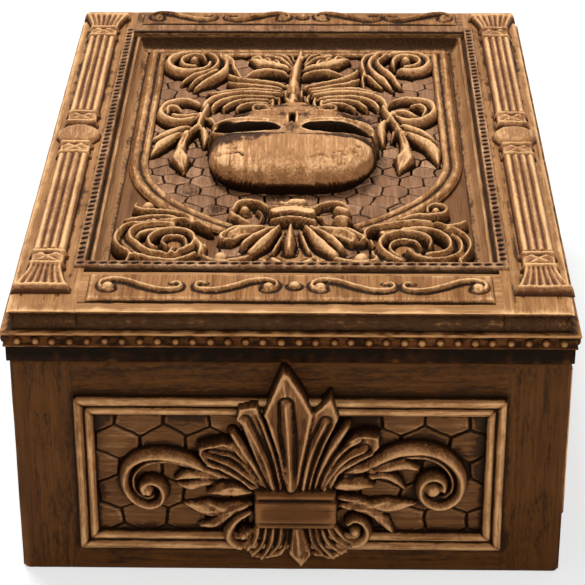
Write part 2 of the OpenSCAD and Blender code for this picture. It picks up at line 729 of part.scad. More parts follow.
module column_drawing(half) {
  reed = shaft_w / reeds;
  flare_y = half - flare_l;
  knop_r = knop_w / 2;
  knop_band = knop_r + 0.6 + cross_l / 2;
  shaft_l = flare_y + lap;
  block([-shaft_w / 2, -shaft_l, 0], [shaft_w / 2, shaft_l, shaft_h * 0.4]);
  for (i = [0 : reeds - 1])
    rod((i - (reeds - 1) / 2) * reed, -shaft_l, shaft_l, reed * 0.46, shaft_h - reed * 0.46);
  // the knop
  translate([0, 0, shaft_h + 0.4 - knop_r * 1.05]) sphere(r = knop_r * 1.05, $fn = 48);
  for (e = [-1, 1]) {
    crossed_band(e * knop_band);
    crossed_band(e * (flare_y - cross_l / 2 + lap / 2));
    // the flared and fluted end
    linear_extrude(shaft_h * 0.6) polygon([
      [-shaft_w / 2, e * flare_y], [-flare_w / 2, e * half], [flare_w / 2, e * half],
      [shaft_w / 2, e * flare_y]
    ]);
    for (i = [-2 : 2]) translate([i * shaft_w / 6, e * (flare_y - lap), shaft_h * 0.5])
      rotate([0, 0, e > 0 ? 0 : 180]) rotate([-90, 0, -i * e * 4]) cylinder(r = 0.6, h = flare_l - 1.2, $fn = 24);
    ring_across(e * (half - 1), flare_w, 0.7, shaft_h * 0.5);
  }
}

module column(sign) {
  half = board_at(half_l) - column_end_gap;
  x = board_at(half_w) - column_side_gap - flare_w / 2;
  color("#a06f3a") translate([sign * x, 0, frame_top_z]) intersection() {
    column_drawing(half);
    block([-flare_w, -half, 0], [flare_w, half, 20]);
  }
}

// Plaques with four S-scrolls and a dot

scroll_line = concat(
  spiral([1.9, 0], 1, 1.7, 300, 90, 5),
  bow([4, 1.7], [7, 1.5], [8.5, -1.9], [12, -2.2], 6),
  spiral([13.2, -0.4], 1.8, 1.2, -70, 110, 5)
);

module s_scroll() {
  linear_extrude(plaque_scroll_h) polygon(ribbon(scroll_line, 0.5));
  translate([1.9, -0.6, 0]) cylinder(r = 1.2, h = plaque_scroll_h, $fn = 24);
  translate([13.2, 0.2, 0]) cylinder(r = 0.9, h = plaque_scroll_h * 0.8, $fn = 24);
}

module plaque(wide) {
  grow = open_w / 37.6;
  block([-open_w + 1.4, -wide / 2, 0], [open_w - 1.4, wide / 2, plaque_t]);
  translate([0, 0, plaque_t]) {
    cylinder(r = 1.2, h = plaque_scroll_h, $fn = 24);
    for (e = [0, 1]) mirror([e, 0, 0]) {
      translate([3 * grow, 0, 0]) s_scroll();
      translate([34.4 * grow, 0, 0]) mirror([1, 0, 0]) s_scroll();
    }
  }
}

module plaque_near() {
  y = -board_at(half_l) + plaque_gap + plaque_near_w / 2;
  color("#9a6c3a") translate([0, y, frame_top_z]) plaque(plaque_near_w);
}

module plaque_far() {
  y = board_at(half_l) - plaque_gap - plaque_far_w / 2;
  color("#9a6c3a") translate([0, y, frame_top_z]) plaque(plaque_far_w);
}

floor_board();
base_felt();
floor_felt();
wall(NEAR);  // front_wall
wall(RIGHT);  // right_wall
wall(FAR);  // back_wall
wall(LEFT);  // left_wall
liner(NEAR);  // liner_front
liner(RIGHT);  // liner_right
liner(FAR);  // liner_back
liner(LEFT);  // liner_left
field(NEAR);  // front_field
field(RIGHT);  // right_field
field(FAR);  // back_field
field(LEFT);  // left_field
frame(NEAR);  // front_frame
frame(RIGHT);  // right_frame
frame(FAR);  // back_frame
frame(LEFT);  // left_frame
cartouche(NEAR);  // front_cartouche
cartouche(RIGHT);  // right_cartouche
cartouche(FAR);  // back_cartouche
cartouche(LEFT);  // left_cartouche
lid_board();
lid_lining();
lid_edge(NEAR);  // lid_edge_near
lid_edge(RIGHT);  // lid_edge_right
lid_edge(FAR);  // lid_edge_far
lid_edge(LEFT);  // lid_edge_left
lid_rail_near();
lid_rail_far();
lid_stile(-1);  // lid_stile_left
lid_stile(1);  // lid_stile_right
column(-1);  // column_left
column(1);  // column_right
plaque_near();
plaque_far();
bead_strip(NEAR);  // bead_strip_near
bead_strip(LEFT);  // bead_strip_left
bead_strip(RIGHT);  // bead_strip_right
far_moulding();
cove_frame();
lid_field();
arch_moulding();
skull();
crown_palmette();
spray(-1);  // spray_left
spray(1);  // spray_right
far_scroll(-1);  // far_scroll_left
far_scroll(1);  // far_scroll_right
shell_knot();
near_scroll(-1);  // near_scroll_left
near_scroll(1);  // near_scroll_right
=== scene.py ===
import math
import bpy
import numpy as np
from mathutils import Matrix, Vector


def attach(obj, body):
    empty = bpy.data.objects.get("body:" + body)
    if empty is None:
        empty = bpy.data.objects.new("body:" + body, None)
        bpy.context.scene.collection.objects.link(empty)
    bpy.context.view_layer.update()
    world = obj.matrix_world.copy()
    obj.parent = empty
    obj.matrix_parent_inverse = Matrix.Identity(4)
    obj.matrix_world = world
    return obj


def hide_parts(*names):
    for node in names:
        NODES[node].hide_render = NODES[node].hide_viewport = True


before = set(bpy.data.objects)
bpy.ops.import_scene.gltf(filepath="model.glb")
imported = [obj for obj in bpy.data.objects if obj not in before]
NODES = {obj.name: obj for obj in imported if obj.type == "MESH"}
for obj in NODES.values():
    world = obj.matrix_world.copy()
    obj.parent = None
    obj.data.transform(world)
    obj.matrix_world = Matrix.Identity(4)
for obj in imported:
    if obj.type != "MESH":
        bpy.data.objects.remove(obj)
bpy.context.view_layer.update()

SCENE = bpy.context.scene
MM = 0.001

# Sizes shared with the part's source, in millimetres
HALF_W, HALF_L, WALL_H = 50.0, 75.0, 44.5
PANEL_Z, PANEL_TALL, FRAME_W, PANEL_SIDE = 21.5, 16.0, 3.6, 11.25
DECK_Z, TOP_Z, FIELD_Z = 50.7, 54.8, 51.3
BOARD_X, BOARD_Y = 49.8, 74.8
OPEN_X, OPEN_NEAR, OPEN_FAR, OPEN_Y, OPEN_L = 37.6, -56.8, 60.6, 1.9, 58.7

SIDES = ("front", "right", "back", "left")
AXES = "xyxy"  # the axis that each of them runs along


# Camera: its place in millimetres, its turn in degrees, and the picture's size and centre in pixels
CAMERA_AT = (5.722, -418.816, 237.473)
CAMERA_TURN = (-1.179, 28.111, 0.233)
PICTURE, CENTRE_X, CENTRE_Y, FOCAL, SENSOR = 585, 282.05, 315.96, 2227.2, 36


def camera():
    """A camera set by its place, its turn and the picture's own centre, as fitted to the box's corners."""
    yaw, pitch, roll = (math.radians(a) for a in CAMERA_TURN)
    ahead = Vector((math.sin(yaw) * math.cos(pitch), math.cos(yaw) * math.cos(pitch), -math.sin(pitch)))
    level = Vector((math.cos(yaw), -math.sin(yaw), 0))
    below = ahead.cross(level)
    right = math.cos(roll) * level + math.sin(roll) * below
    down = -math.sin(roll) * level + math.cos(roll) * below
    data = bpy.data.cameras.new("camera")
    data.sensor_width = SENSOR
    data.lens = FOCAL / PICTURE * SENSOR
    data.shift_x = (PICTURE / 2 - CENTRE_X) / PICTURE
    data.shift_y = (CENTRE_Y - PICTURE / 2) / PICTURE
    data.clip_start = 0.01
    cam = bpy.data.objects.new("camera", data)
    turn = Matrix((right, -down, -ahead)).transposed().to_4x4()
    cam.matrix_world = Matrix.Translation(Vector(CAMERA_AT) * MM) @ turn
    SCENE.collection.objects.link(cam)
    SCENE.camera = cam


camera()


# Colours and materials

def srgb(r, g, b):
    return tuple(c / 255 / 12.92 if c <= 10 else ((c / 255 + 0.055) / 1.055) ** 2.4
                 for c in (r, g, b)) + (1.0,)


WARM_GLOSS = (1.0, 0.74, 0.5, 1.0)


class Nodes:
    """Builds a material's node tree with short calls. Sums take sockets or numbers."""

    def __init__(self, name):
        self.mat = bpy.data.materials.new(name)
        self.mat.use_nodes = True
        self.tree = self.mat.node_tree
        self.tree.nodes.clear()
        self.out = self.add("ShaderNodeOutputMaterial")

    def add(self, kind, **given):
        node = self.tree.nodes.new(kind)
        for key, value in given.items():
            setattr(node, key, value)
        return node

    def link(self, a, b):
        self.tree.links.new(a, b)

    def fill(self, socket, value):
        if hasattr(value, "links"):
            self.link(value, socket)
        else:
            socket.default_value = value

    def math(self, op, a, b):
        node = self.add("ShaderNodeMath", operation=op)
        self.fill(node.inputs[0], a)
        self.fill(node.inputs[1], b)
        return node.outputs[0]

    def plus(self, a, b):
        return self.math("ADD", a, b)

    def minus(self, a, b):
        return self.math("SUBTRACT", a, b)

    def times(self, a, b):
        return self.math("MULTIPLY", a, b)

    def mix(self, factor, a, b):
        node = self.add("ShaderNodeMix", data_type="RGBA", blend_type="MIX")
        self.fill(node.inputs[0], factor)
        self.fill(node.inputs[6], a)
        self.fill(node.inputs[7], b)
        return node.outputs[2]

    def noise(self, scale, detail, rough=0.5, seed=0.0):
        """Noise with its own scale along x, y and z, per metre."""
        place = self.add("ShaderNodeMapping")
        self.link(self.add("ShaderNodeTexCoord").outputs["Object"], place.inputs["Vector"])
        place.inputs["Location"].default_value = (seed, seed * 0.7, seed * 1.3)
        place.inputs["Scale"].default_value = scale
        node = self.add("ShaderNodeTexNoise")
        self.link(place.outputs[0], node.inputs["Vector"])
        node.inputs["Scale"].default_value = 1.0
        node.inputs["Detail"].default_value = detail
        node.inputs["Roughness"].default_value = rough
        return node.outputs["Fac"]

    def ramp(self, value, low, high):
        """Runs smoothly from 0 at low to 1 at high."""
        node = self.add("ShaderNodeMapRange", clamp=True, interpolation_type="SMOOTHSTEP")
        self.fill(node.inputs["Value"], value)
        node.inputs["From Min"].default_value = low
        node.inputs["From Max"].default_value = high
        return node.outputs["Result"]

    def attribute(self, name):
        return self.add("ShaderNodeAttribute", attribute_name=name).outputs["Fac"]

    def surface(self, colour, rough, height, depth, spec, sheen=0.0):
        """The material's surface, with bumps depth metres high."""
        shader = self.add("ShaderNodeBsdfPrincipled")
        self.fill(shader.inputs["Base Color"], colour)
        self.fill(shader.inputs["Roughness"], rough)
        shader.inputs["Specular IOR Level"].default_value = spec
        shader.inputs["Specular Tint"].default_value = WARM_GLOSS
        if sheen:
            shader.inputs["Sheen Weight"].default_value = sheen
        bump = self.add("ShaderNodeBump")
        bump.inputs["Strength"].default_value = 0.8
        bump.inputs["Distance"].default_value = depth
        self.link(height, bump.inputs["Height"])
        self.link(bump.outputs[0], shader.inputs["Normal"])
        self.link(shader.outputs[0], self.out.inputs["Surface"])
        return self.mat


def along(axis, fine, coarse):
    """Noise scales that stretch along one axis."""
    return tuple(coarse if a == axis else fine for a in "xyz")


def wood(name, axis, dark, mid, light, deep=(26, 12, 4), rough=0.5, figure=0.6, brush=0.6, spec=0.14):
    """Stained wood: a dark wash and painted shade in the hollows, paler on worn crests with a painted
    highlight, streaked along its grain.
    """
    n = Nodes(name)
    plus, minus, times = n.plus, n.minus, n.times
    wash_and_shade, worn = n.attribute("wash_and_shade"), n.attribute("worn")
    fine = n.noise(along(axis, 2400, 70), 5, 0.62, 3.1)
    wide = n.noise(along(axis, 620, 22), 4, 0.6, 7.7)
    patch = n.noise((110, 110, 110), 4, 0.55, 1.9)
    speck = n.noise(along(axis, 1900, 700), 3, 0.65, 5.3)
    pore = n.noise(along(axis, 4200, 160), 2, 0.5, 11.3)
    # the wood under its stain
    streak = plus(times(fine, 0.5), times(wide, 0.5))
    base = n.mix(n.ramp(streak, 0.5 - 0.2 * figure, 0.5 + 0.2 * figure), srgb(*dark), srgb(*mid))
    base = n.mix(times(n.ramp(patch, 0.4, 0.7), 0.4), base, srgb(*mid))
    # rubbed pale and painted with highlights, most of all on the crests
    rub_and_highlight = plus(worn, times(minus(streak, 0.54), brush * 2.2))
    rub_and_highlight = plus(rub_and_highlight, times(minus(patch, 0.54), 1.0))
    rub_and_highlight = plus(rub_and_highlight, times(minus(speck, 0.5), 0.7))
    rub_and_highlight = minus(rub_and_highlight, times(wash_and_shade, 0.6))
    base = n.mix(n.ramp(rub_and_highlight, 0.08, 1.0), base, srgb(*light))
    # dark where the stain has soaked in and where shade is painted, first brown and then nearly black
    soak_and_shade = plus(wash_and_shade, times(minus(speck, 0.58), 0.65))
    soak_and_shade = plus(soak_and_shade, times(minus(patch, 0.5), -0.25))
    brown = tuple(0.45 * a + 0.55 * b for a, b in zip(dark, deep))
    base = n.mix(n.ramp(soak_and_shade, 0.02, 0.3), base, srgb(*brown))
    base = n.mix(n.ramp(soak_and_shade, 0.26, 0.7), base, srgb(*deep))
    base = n.mix(times(n.ramp(pore, 0.6, 0.72), 0.5), base, srgb(*deep))
    shine = plus(times(streak, -0.2), rough + 0.12)
    height = plus(times(fine, 0.7), times(speck, 0.5))
    return n.surface(base, shine, height, 0.00025, spec)


def felt(name, colour):
    n = Nodes(name)
    fuzz = n.noise((3200, 3200, 3200), 3, 0.7)
    patch = n.noise((240, 240, 240), 2, 0.5, 4.4)
    low, high = srgb(*(c * 0.6 for c in colour)), srgb(*(min(255, c * 1.35) for c in colour))
    shade = n.mix(n.ramp(n.plus(n.times(fuzz, 0.7), n.times(patch, 0.3)), 0.3, 0.7), low, high)
    return n.surface(shade, 0.95, fuzz, 0.0004, 0.1, 0.4)


# The walls', the wall panels' and the lid edge's colours are darker than the lid's like parts: a darker
# stain, and painted shade for the faces that the light from above misses.
WALL = {a: wood("stained and shaded wall " + a, a, (54, 27, 6), (84, 48, 15), (126, 78, 34), rough=0.48, figure=1.0,
                brush=0.9)
        for a in "xyz"}
LINER = wood("liner board", "z", (52, 30, 14), (76, 47, 23), (100, 66, 36), rough=0.55)
DECK = wood("lid deck", "y", (84, 50, 26), (124, 84, 52), (168, 126, 86), rough=0.52, figure=0.9)
CARVED = wood("carved panel", "z", (84, 49, 25), (120, 78, 44), (186, 138, 92), rough=0.48)
TABLET = {a: wood(name, a, (78, 44, 18), (92, 55, 26), (122, 80, 44), rough=0.45, figure=0.9, brush=0.3)
          for a, name in (("x", "tablet"), ("y", "tablet on the sides"))}
MOULD = {a: wood("panel moulding " + a, a, (98, 60, 30), (150, 104, 62), (204, 156, 106)) for a in "xyz"}
COMB = wood("honeycomb", "x", (66, 38, 18), (108, 70, 38), (160, 116, 76), figure=1.0, brush=0.9)
BOARD = {a: wood("lid board " + a, a, (122, 80, 44), (168, 121, 76), (220, 172, 120), figure=0.9)
         for a in "xyz"}
EDGE = {a: wood("lid edge " + a, a, (58, 28, 8), (90, 52, 22), (170, 122, 76), (12, 4, 1), figure=1.0,
                spec=0.07)
        for a in "xyz"}
SLOPE = wood("recess slope", "y", (128, 86, 52), (168, 123, 82), (206, 160, 114), rough=0.52, figure=0.9)
ORNAMENT = wood("lid carving", "y", (108, 66, 32), (158, 111, 67), (222, 175, 124), rough=0.48)
REED = wood("column", "y", (120, 76, 46), (168, 121, 80), (224, 176, 122), (66, 38, 22), figure=0.9)
BONE = wood("skull", "y", (124, 80, 44), (188, 137, 90), (232, 183, 132), rough=0.48, figure=1.0, brush=1.0)
LIDCOMB = wood("lid honeycomb", "y", (104, 70, 46), (146, 106, 78), (190, 148, 112), rough=0.52, figure=0.9)
PIT = wood("pitted strip", "y", (100, 64, 38), (144, 103, 70), (206, 164, 122), rough=0.52)
FELT = felt("felt", (30, 28, 27))


# Grid noise for the carved surfaces

def lattice_noise(x, y, seed):
    """Smooth noise from -1 to 1 on a seeded lattice of unit cells."""
    table = np.random.default_rng(seed).uniform(-1, 1, (64, 64))
    i, j = np.floor(x).astype(int), np.floor(y).astype(int)
    u, v = x - i, y - j
    u, v = u * u * (3 - 2 * u), v * v * (3 - 2 * v)
    a, b = table[i % 64, j % 64], table[(i + 1) % 64, j % 64]
    c, d = table[i % 64, (j + 1) % 64], table[(i + 1) % 64, (j + 1) % 64]
    return (a * (1 - u) + b * u) * (1 - v) + (c * (1 - u) + d * u) * v


def grain(x, y, axis, seed):
    """Fine tool and grain marks, about -1 to 1."""
    sx, sy = (0.12, 2.2) if axis == "x" else (2.2, 0.12)
    return (0.6 * lattice_noise(x * sx, y * sy, seed)
            + 0.4 * lattice_noise(x * sx * 2.3, y * sy * 2.3, seed + 1))


def blur(h, sigma):
    """Gaussian blur, sigma in cells, mirrored at the edges."""
    n = int(max(1, round(3 * sigma)))
    k = np.exp(-0.5 * (np.arange(-n, n + 1) / sigma) ** 2)
    k /= k.sum()
    out = np.pad(h, n, mode="edge")
    out = np.apply_along_axis(np.convolve, 0, out, k, "valid")
    return np.apply_along_axis(np.convolve, 1, out, k, "valid")


# Curves

def arr(*pts):
    return np.array(pts, float)


def bezier(a, b, c, n):
    """A curve from a to c that is drawn towards b."""
    t = np.linspace(0, 1, n + 1)[:, None]
    s = 1 - t
    a, b, c = (np.array(p, float) for p in (a, b, c))
    return s * s * a + 2 * s * t * b + t * t * c


def smooth(*pts, n=8):
    """A smooth line through the given points."""
    p = np.array(pts, float)
    p = np.vstack([2 * p[0] - p[1], p, 2 * p[-1] - p[-2]])
    out = []
    for i in range(1, len(p) - 2):
        t = np.linspace(0, 1, n, endpoint=False)[:, None]
        a, b, c, d = p[i - 1], p[i], p[i + 1], p[i + 2]
        out.append(0.5 * (2 * b + (c - a) * t + (2 * a - 5 * b + 4 * c - d) * t ** 2
                          + (3 * b - a - 3 * c + d) * t ** 3))
    return np.vstack(out + [p[-2:-1]])


def inside(poly, x, y):
    """Which points lie within a closed outline."""
    px, py = np.asarray(poly, float).T
    hit, j = np.zeros(x.shape, bool), len(px) - 1
    for i in range(len(px)):
        if py[i] != py[j]:
            across = (px[j] - px[i]) * (y - py[i]) / (py[j] - py[i]) + px[i]
            hit ^= ((py[i] > y) != (py[j] > y)) & (x < across)
        j = i
    return hit


# Relief

def edge(q, soft):
    return np.clip((1 - q) / soft, 0, 1) ** 0.6


SHAPES = {
    "dome": lambda q: np.clip(1 - q * q, 0, 1) ** 0.5,
    "round": lambda q: 0.62 * np.clip(1 - q * q, 0, 1) ** 0.55 + 0.38 * np.clip(1 - q, 0, 1) ** 0.9,
    "sharp": lambda q: np.clip(1 - q, 0, 1) ** 0.8,
    "flat": lambda q: edge(q, 0.25),
    "crest": lambda q: edge(q, 0.3) * (1 - 0.42 * q),
    "trough": lambda q: edge(q, 0.25) * (0.55 + 0.45 * q),
}


class Relief:
    """A carved surface: a grid of heights in millimetres, drawn with strokes. Below 0 is nothing."""

    def __init__(self, x0, x1, y0, y1, step):
        self.x = np.linspace(x0, x1, int(round((x1 - x0) / step)) + 1)
        self.y = np.linspace(y0, y1, int(round((y1 - y0) / step)) + 1)
        self.X, self.Y = np.meshgrid(self.x, self.y, indexing="ij")
        self.H = np.full(self.X.shape, -1.0)
        self.step = step
        self.tone = np.zeros(self.X.shape)

    def noise(self, seed, across, along=None):
        """Noise with this many cells to the millimetre, across and along the grid."""
        return lattice_noise(self.X * across, self.Y * (across if along is None else along), seed)

    def grain(self, axis, seed):
        return grain(self.X, self.Y, axis, seed)

    def inset(self, x0, x1, y0, y1):
        """How far each point lies within a rectangle."""
        return np.minimum(np.minimum(self.X - x0, x1 - self.X), np.minimum(self.Y - y0, y1 - self.Y))

    def measure(self, line, reach):
        """Distance to a line and how far along it, in a window of the grid."""
        p = np.array(line, float)
        lo, hi = p.min(0) - reach, p.max(0) + reach
        i0, i1 = np.searchsorted(self.x, [lo[0], hi[0]])
        j0, j1 = np.searchsorted(self.y, [lo[1], hi[1]])
        win = (slice(i0, i1), slice(j0, j1))
        x, y = self.X[win], self.Y[win]
        best, at = np.full(x.shape, 1e9), np.zeros(x.shape)
        seg = p[1:] - p[:-1]
        size = np.hypot(seg[:, 0], seg[:, 1])
        total, gone = size.sum(), 0.0
        for a, s, long in zip(p, seg, size):
            if long < 1e-9:
                continue
            t = np.clip(((x - a[0]) * s[0] + (y - a[1]) * s[1]) / (long * long), 0, 1)
            d = np.hypot(x - a[0] - t * s[0], y - a[1] - t * s[1])
            nearer = d < best
            best = np.where(nearer, d, best)
            at = np.where(nearer, (gone + t * long) / total, at)
            gone += long
        return win, best, at

    def plate(self, outline, height, dip, moat=0.8, rise=0.0):
        """A flat leaf of any outline, with a rim round a hollow that is dip deep."""
        win, d, _ = self.measure(np.vstack([outline, outline[:1]]), 1.2)
        within = inside(outline, self.X[win], self.Y[win])
        top = height + rise * self.Y[win]
        body = top - 0.6 * np.clip(1 - d / 0.45, 0, 1) ** 1.5 - dip * np.clip((d - 0.55) / 0.7, 0, 1)
        now = self.H[win]
        now = now - moat * np.clip(1 - d / 0.5, 0, 1) * ~within * (now > 0)
        self.H[win] = np.where(within, body, now)

    def clear_of(self, line, reach):
        """Empties the grid within reach of a line."""
        win, d, _ = self.measure(line, reach + 1)
        self.H[win] = np.where(d < reach, -1, self.H[win])

    @staticmethod
    def along(t, given):
        """A width or height along a line, from one number or several evenly spread ones."""
        if not hasattr(given, "__len__"):
            return np.full_like(t, float(given))
        return np.interp(t, np.linspace(0, 1, len(given)), given)

    def stroke(self, line, width, height, shape="round", moat=0.0, base=0.0, veins=0):
        """Adds a carved bar or leaf along a line. moat cuts a narrow line round it."""
        win, d, t = self.measure(line, np.max(width) + 1.0)
        w, h = self.along(t, width), self.along(t, height)
        q = d / np.maximum(w, 0.02)
        body = SHAPES[shape](np.minimum(q, 1.0))
        if veins:
            body = body * (0.9 + 0.1 * np.cos(2 * np.pi * (veins * t - 0.9 * q)))
        body = base + (h - base) * body
        now = self.H[win]
        if moat:
            now = now - moat * np.clip(1 - (d - w) / 0.55, 0, 1) * (q >= 1) * (now > 0)
        self.H[win] = np.where(q < 1, np.maximum(now, body), now)

    def strokes(self, rows, shape="round", **how):
        """One smooth stroke for each row of points, widths and heights."""
        for points, width, height in rows:
            self.stroke(smooth(*points), width, height, shape, **how)

    def cut(self, line, width, depth, shape="round"):
        """Cuts a groove along a line."""
        win, d, t = self.measure(line, np.max(width) + 0.5)
        w, h = self.along(t, width), self.along(t, depth)
        self.H[win] -= h * SHAPES[shape](np.minimum(d / np.maximum(w, 0.02), 1.0))

    def ball(self, x, y, r, h, base=0.0, moat=0.0):
        self.stroke([(x, y), (x + 0.01, y)], r, h, "dome", moat=moat, base=base)

    def box(self, x0, x1, y0, y1, h, bevel):
        """A flat block with bevelled edges."""
        inset = self.inset(x0, x1, y0, y1)
        self.H = np.where(inset >= 0, h - bevel * np.clip(1 - inset / bevel, 0, 1) ** 1.5, self.H)

    def soften(self, cells):
        """Rounds off the carving a little. Where there is nothing, there stays nothing."""
        on = self.H > 0
        self.H = np.where(on, blur(np.where(on, self.H, 0), cells), self.H)

    def age(self, axis, seed, marks, dents=0.06):
        """Adds tool marks and small dents."""
        on = self.H > 0
        g = marks * self.grain(axis, seed) + dents * self.noise(seed + 5, 0.9)
        self.H = np.where(on, np.maximum(self.H + g, 0.02), self.H)

    def shades(self, fine=2.0, broad=0.55):
        """How dark with stain and painted shade in a hollow, and how pale with wear and a painted highlight
        on a crest, each point is, from 0 to 1.
        """
        h = np.maximum(self.H, 0)
        near, far = blur(h, 0.55 / self.step), blur(h, 1.7 / self.step)
        wash_and_shade = np.clip((near - h) * fine + (far - h) * broad, 0, 1)
        slope = np.hypot(*np.gradient(h, self.step))
        worn = np.clip((h - near) * fine + (h - far) * broad, 0, 1) / (1 + 0.5 * slope ** 2)
        # steep sides get painted shade as well
        wash_and_shade = np.maximum(wash_and_shade, np.clip(slope * 0.1 - 0.1, 0, 0.28))
        return np.clip(wash_and_shade - self.tone, 0, 1), np.clip(worn + self.tone, 0, 1)


def split(tone):
    """A tone from -1, dark with stain and painted shade, to 1, pale with wear and a painted highlight, as
    the two shades that the materials read.
    """
    return np.clip(-tone, 0, 1), np.clip(tone, 0, 1)


def mesh_of(name, verts, faces, shades, material, crisp=0):
    """A mesh from points in millimetres and two shades at each. Edges over crisp degrees stay sharp."""
    mesh = bpy.data.meshes.new(name)
    mesh.from_pydata((np.asarray(verts) * MM).tolist(), [], faces)
    for key, values in zip(("wash_and_shade", "worn"), shades):
        data = mesh.attributes.new(key, "FLOAT", "POINT")
        data.data.foreach_set("value", np.asarray(values, np.float32))
    mesh.materials.append(material)
    mesh.shade_smooth()
    if crisp:
        mesh.set_sharp_from_angle(angle=math.radians(crisp))
    obj = bpy.data.objects.new(name, mesh)
    SCENE.collection.objects.link(obj)
    return obj


def centres(obj):
    """The middle of each face, in millimetres."""
    c = np.zeros(len(obj.data.polygons) * 3)
    obj.data.polygons.foreach_get("center", c)
    return c.reshape(-1, 3) / MM


def second_material(obj, material, where):
    obj.data.materials.append(material)
    obj.data.polygons.foreach_set("material_index", where.astype(np.int32))


def points_of(obj):
    """The mesh's points, in metres."""
    co = np.zeros(len(obj.data.vertices) * 3)
    obj.data.vertices.foreach_get("co", co)
    return co.reshape(-1, 3)


def settle(obj, body, slot, *nodes):
    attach(obj, body)
    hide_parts(*nodes)


def solid(relief, name, place, material, base, shades=None, keep=None):
    """Makes a closed piece from a relief: its carved face, a flat back and the sides between them."""
    on = (relief.H > 0) if keep is None else keep
    cells = on[:-1, :-1] | on[1:, :-1] | on[:-1, 1:] | on[1:, 1:]
    used = np.zeros(on.shape, bool)
    for a in (slice(None, -1), slice(1, None)):
        for b in (slice(None, -1), slice(1, None)):
            used[a, b] |= cells
    count = int(used.sum())
    index = np.full(on.shape, -1)
    index[used] = np.arange(count)
    x, y = relief.X[used], relief.Y[used]
    h = np.maximum(relief.H[used], 0) if keep is None else relief.H[used]
    verts = np.vstack([place(x, y, h), place(x, y, np.full_like(h, -base))])
    i, j = np.nonzero(cells)
    quad = np.stack([index[i, j], index[i + 1, j], index[i + 1, j + 1], index[i, j + 1]], 1)
    sides = []
    padded = np.pad(cells, 1)
    for di, dj, a, b in ((-1, 0, (0, 1), (0, 0)), (1, 0, (1, 0), (1, 1)),
                         (0, -1, (0, 0), (1, 0)), (0, 1, (1, 1), (0, 1))):
        beyond = padded[1 + di:padded.shape[0] - 1 + di, 1 + dj:padded.shape[1] - 1 + dj]
        i, j = np.nonzero(cells & ~beyond)
        p, q = index[i + a[0], j + a[1]], index[i + b[0], j + b[1]]
        sides.append(np.stack([q, p, p + count, q + count], 1))
    faces = np.vstack([quad, quad[:, ::-1] + count] + sides).tolist()
    # the back takes the face's shades
    shades = [np.tile(a[used], 2) for a in (relief.shades() if shades is None else shades)]
    return mesh_of(name, verts, faces, shades, material)


def on_lid(z):
    """Puts a relief drawn from the recess's centre on the lid."""
    return lambda x, y, h: np.stack([x, y + OPEN_Y, z + h], 1)


def on_top(x, y, h):
    """Puts a relief drawn from the lid's centre on the lid's top."""
    return np.stack([x, y, TOP_Z + h], 1)


def facing(side):
    """Cosine and sine of the turn from the near side to side 1 (right), 2 (far) or 3 (left)."""
    turn = math.radians(90 * side)
    return round(math.cos(turn)), round(math.sin(turn))


def halves(side):
    """Half the length of a side of the box, and how far it lies from the middle."""
    return (HALF_W, HALF_L) if side % 2 == 0 else (HALF_L, HALF_W)


def on_wall(side):
    """Puts a panel drawn as (along, up, out) on the outer face of a wall."""
    c, s = facing(side)
    out = halves(side)[1]

    def place(u, v, h):
        x, y = u, -(out + h)
        return np.stack([c * x - s * y, s * x + c * y, PANEL_Z + v], 1)
    return place


# A moulding swept along a line. Its section lists (distance to the left, height, tone), tone from -1 in
# a groove, dark with painted shade, to 1 on a worn crest.

def loft(n, k, closed=False):
    """Faces that join n copies of a section of k points, with a cap at each end unless it is closed."""
    faces = [(i * k + q, (i + 1) % n * k + q, (i + 1) % n * k + (q + 1) % k, i * k + (q + 1) % k)
             for i in range(n if closed else n - 1) for q in range(k)]
    return faces if closed else faces + [tuple(range(k)), tuple(range((n - 1) * k, n * k))[::-1]]


def woven(rows):
    """Puts the values along each of a section's points in the order of the mesh's points."""
    out = np.stack(rows, 1)
    return out.reshape(-1, *out.shape[2:])


def refine(line, step):
    """The line's points with more between them, about a step apart."""
    out = []
    for a, b in zip(line[:-1], line[1:]):
        n = max(1, int(round(np.hypot(*(b - a)) / step)))
        out += [a + (b - a) * k / n for k in range(n)]
    return np.array(out + [line[-1]])


def sweep(name, line, section, place, material, step, wobble, seed):
    line = refine(line, step)
    n, k = len(line), len(section)
    before = line - np.roll(line, 1, 0)
    after = np.roll(line, -1, 0) - line
    before[0], after[-1] = after[0], before[-1]
    before /= np.linalg.norm(before, axis=1)[:, None]
    after /= np.linalg.norm(after, axis=1)[:, None]
    lb, la = (np.stack([-v[:, 1], v[:, 0]], 1) for v in (before, after))
    m = lb + la
    m /= np.linalg.norm(m, axis=1)[:, None]
    m /= (m * lb).sum(1)[:, None]
    low = min(z for _, z, _ in section)
    s = np.arange(n) * step
    verts, tones = [], []
    for q, (off, z, t) in enumerate(section):
        free = 0 if z == low else wobble
        shift = free * lattice_noise(s * 0.22, np.full(n, q * 0.35), seed)
        lift = free * lattice_noise(s * 0.3, np.full(n, q * 0.35 + 9), seed + 2)
        pts = line + m * (off + shift)[:, None]
        verts.append(place(pts[:, 0], pts[:, 1], z + lift))
        tones.append(np.full(n, t) + 0.22 * lattice_noise(s * 0.9, np.full(n, q * 0.8), seed + 4))
    return mesh_of(name, woven(verts), loft(n, k), split(woven(tones)), material)


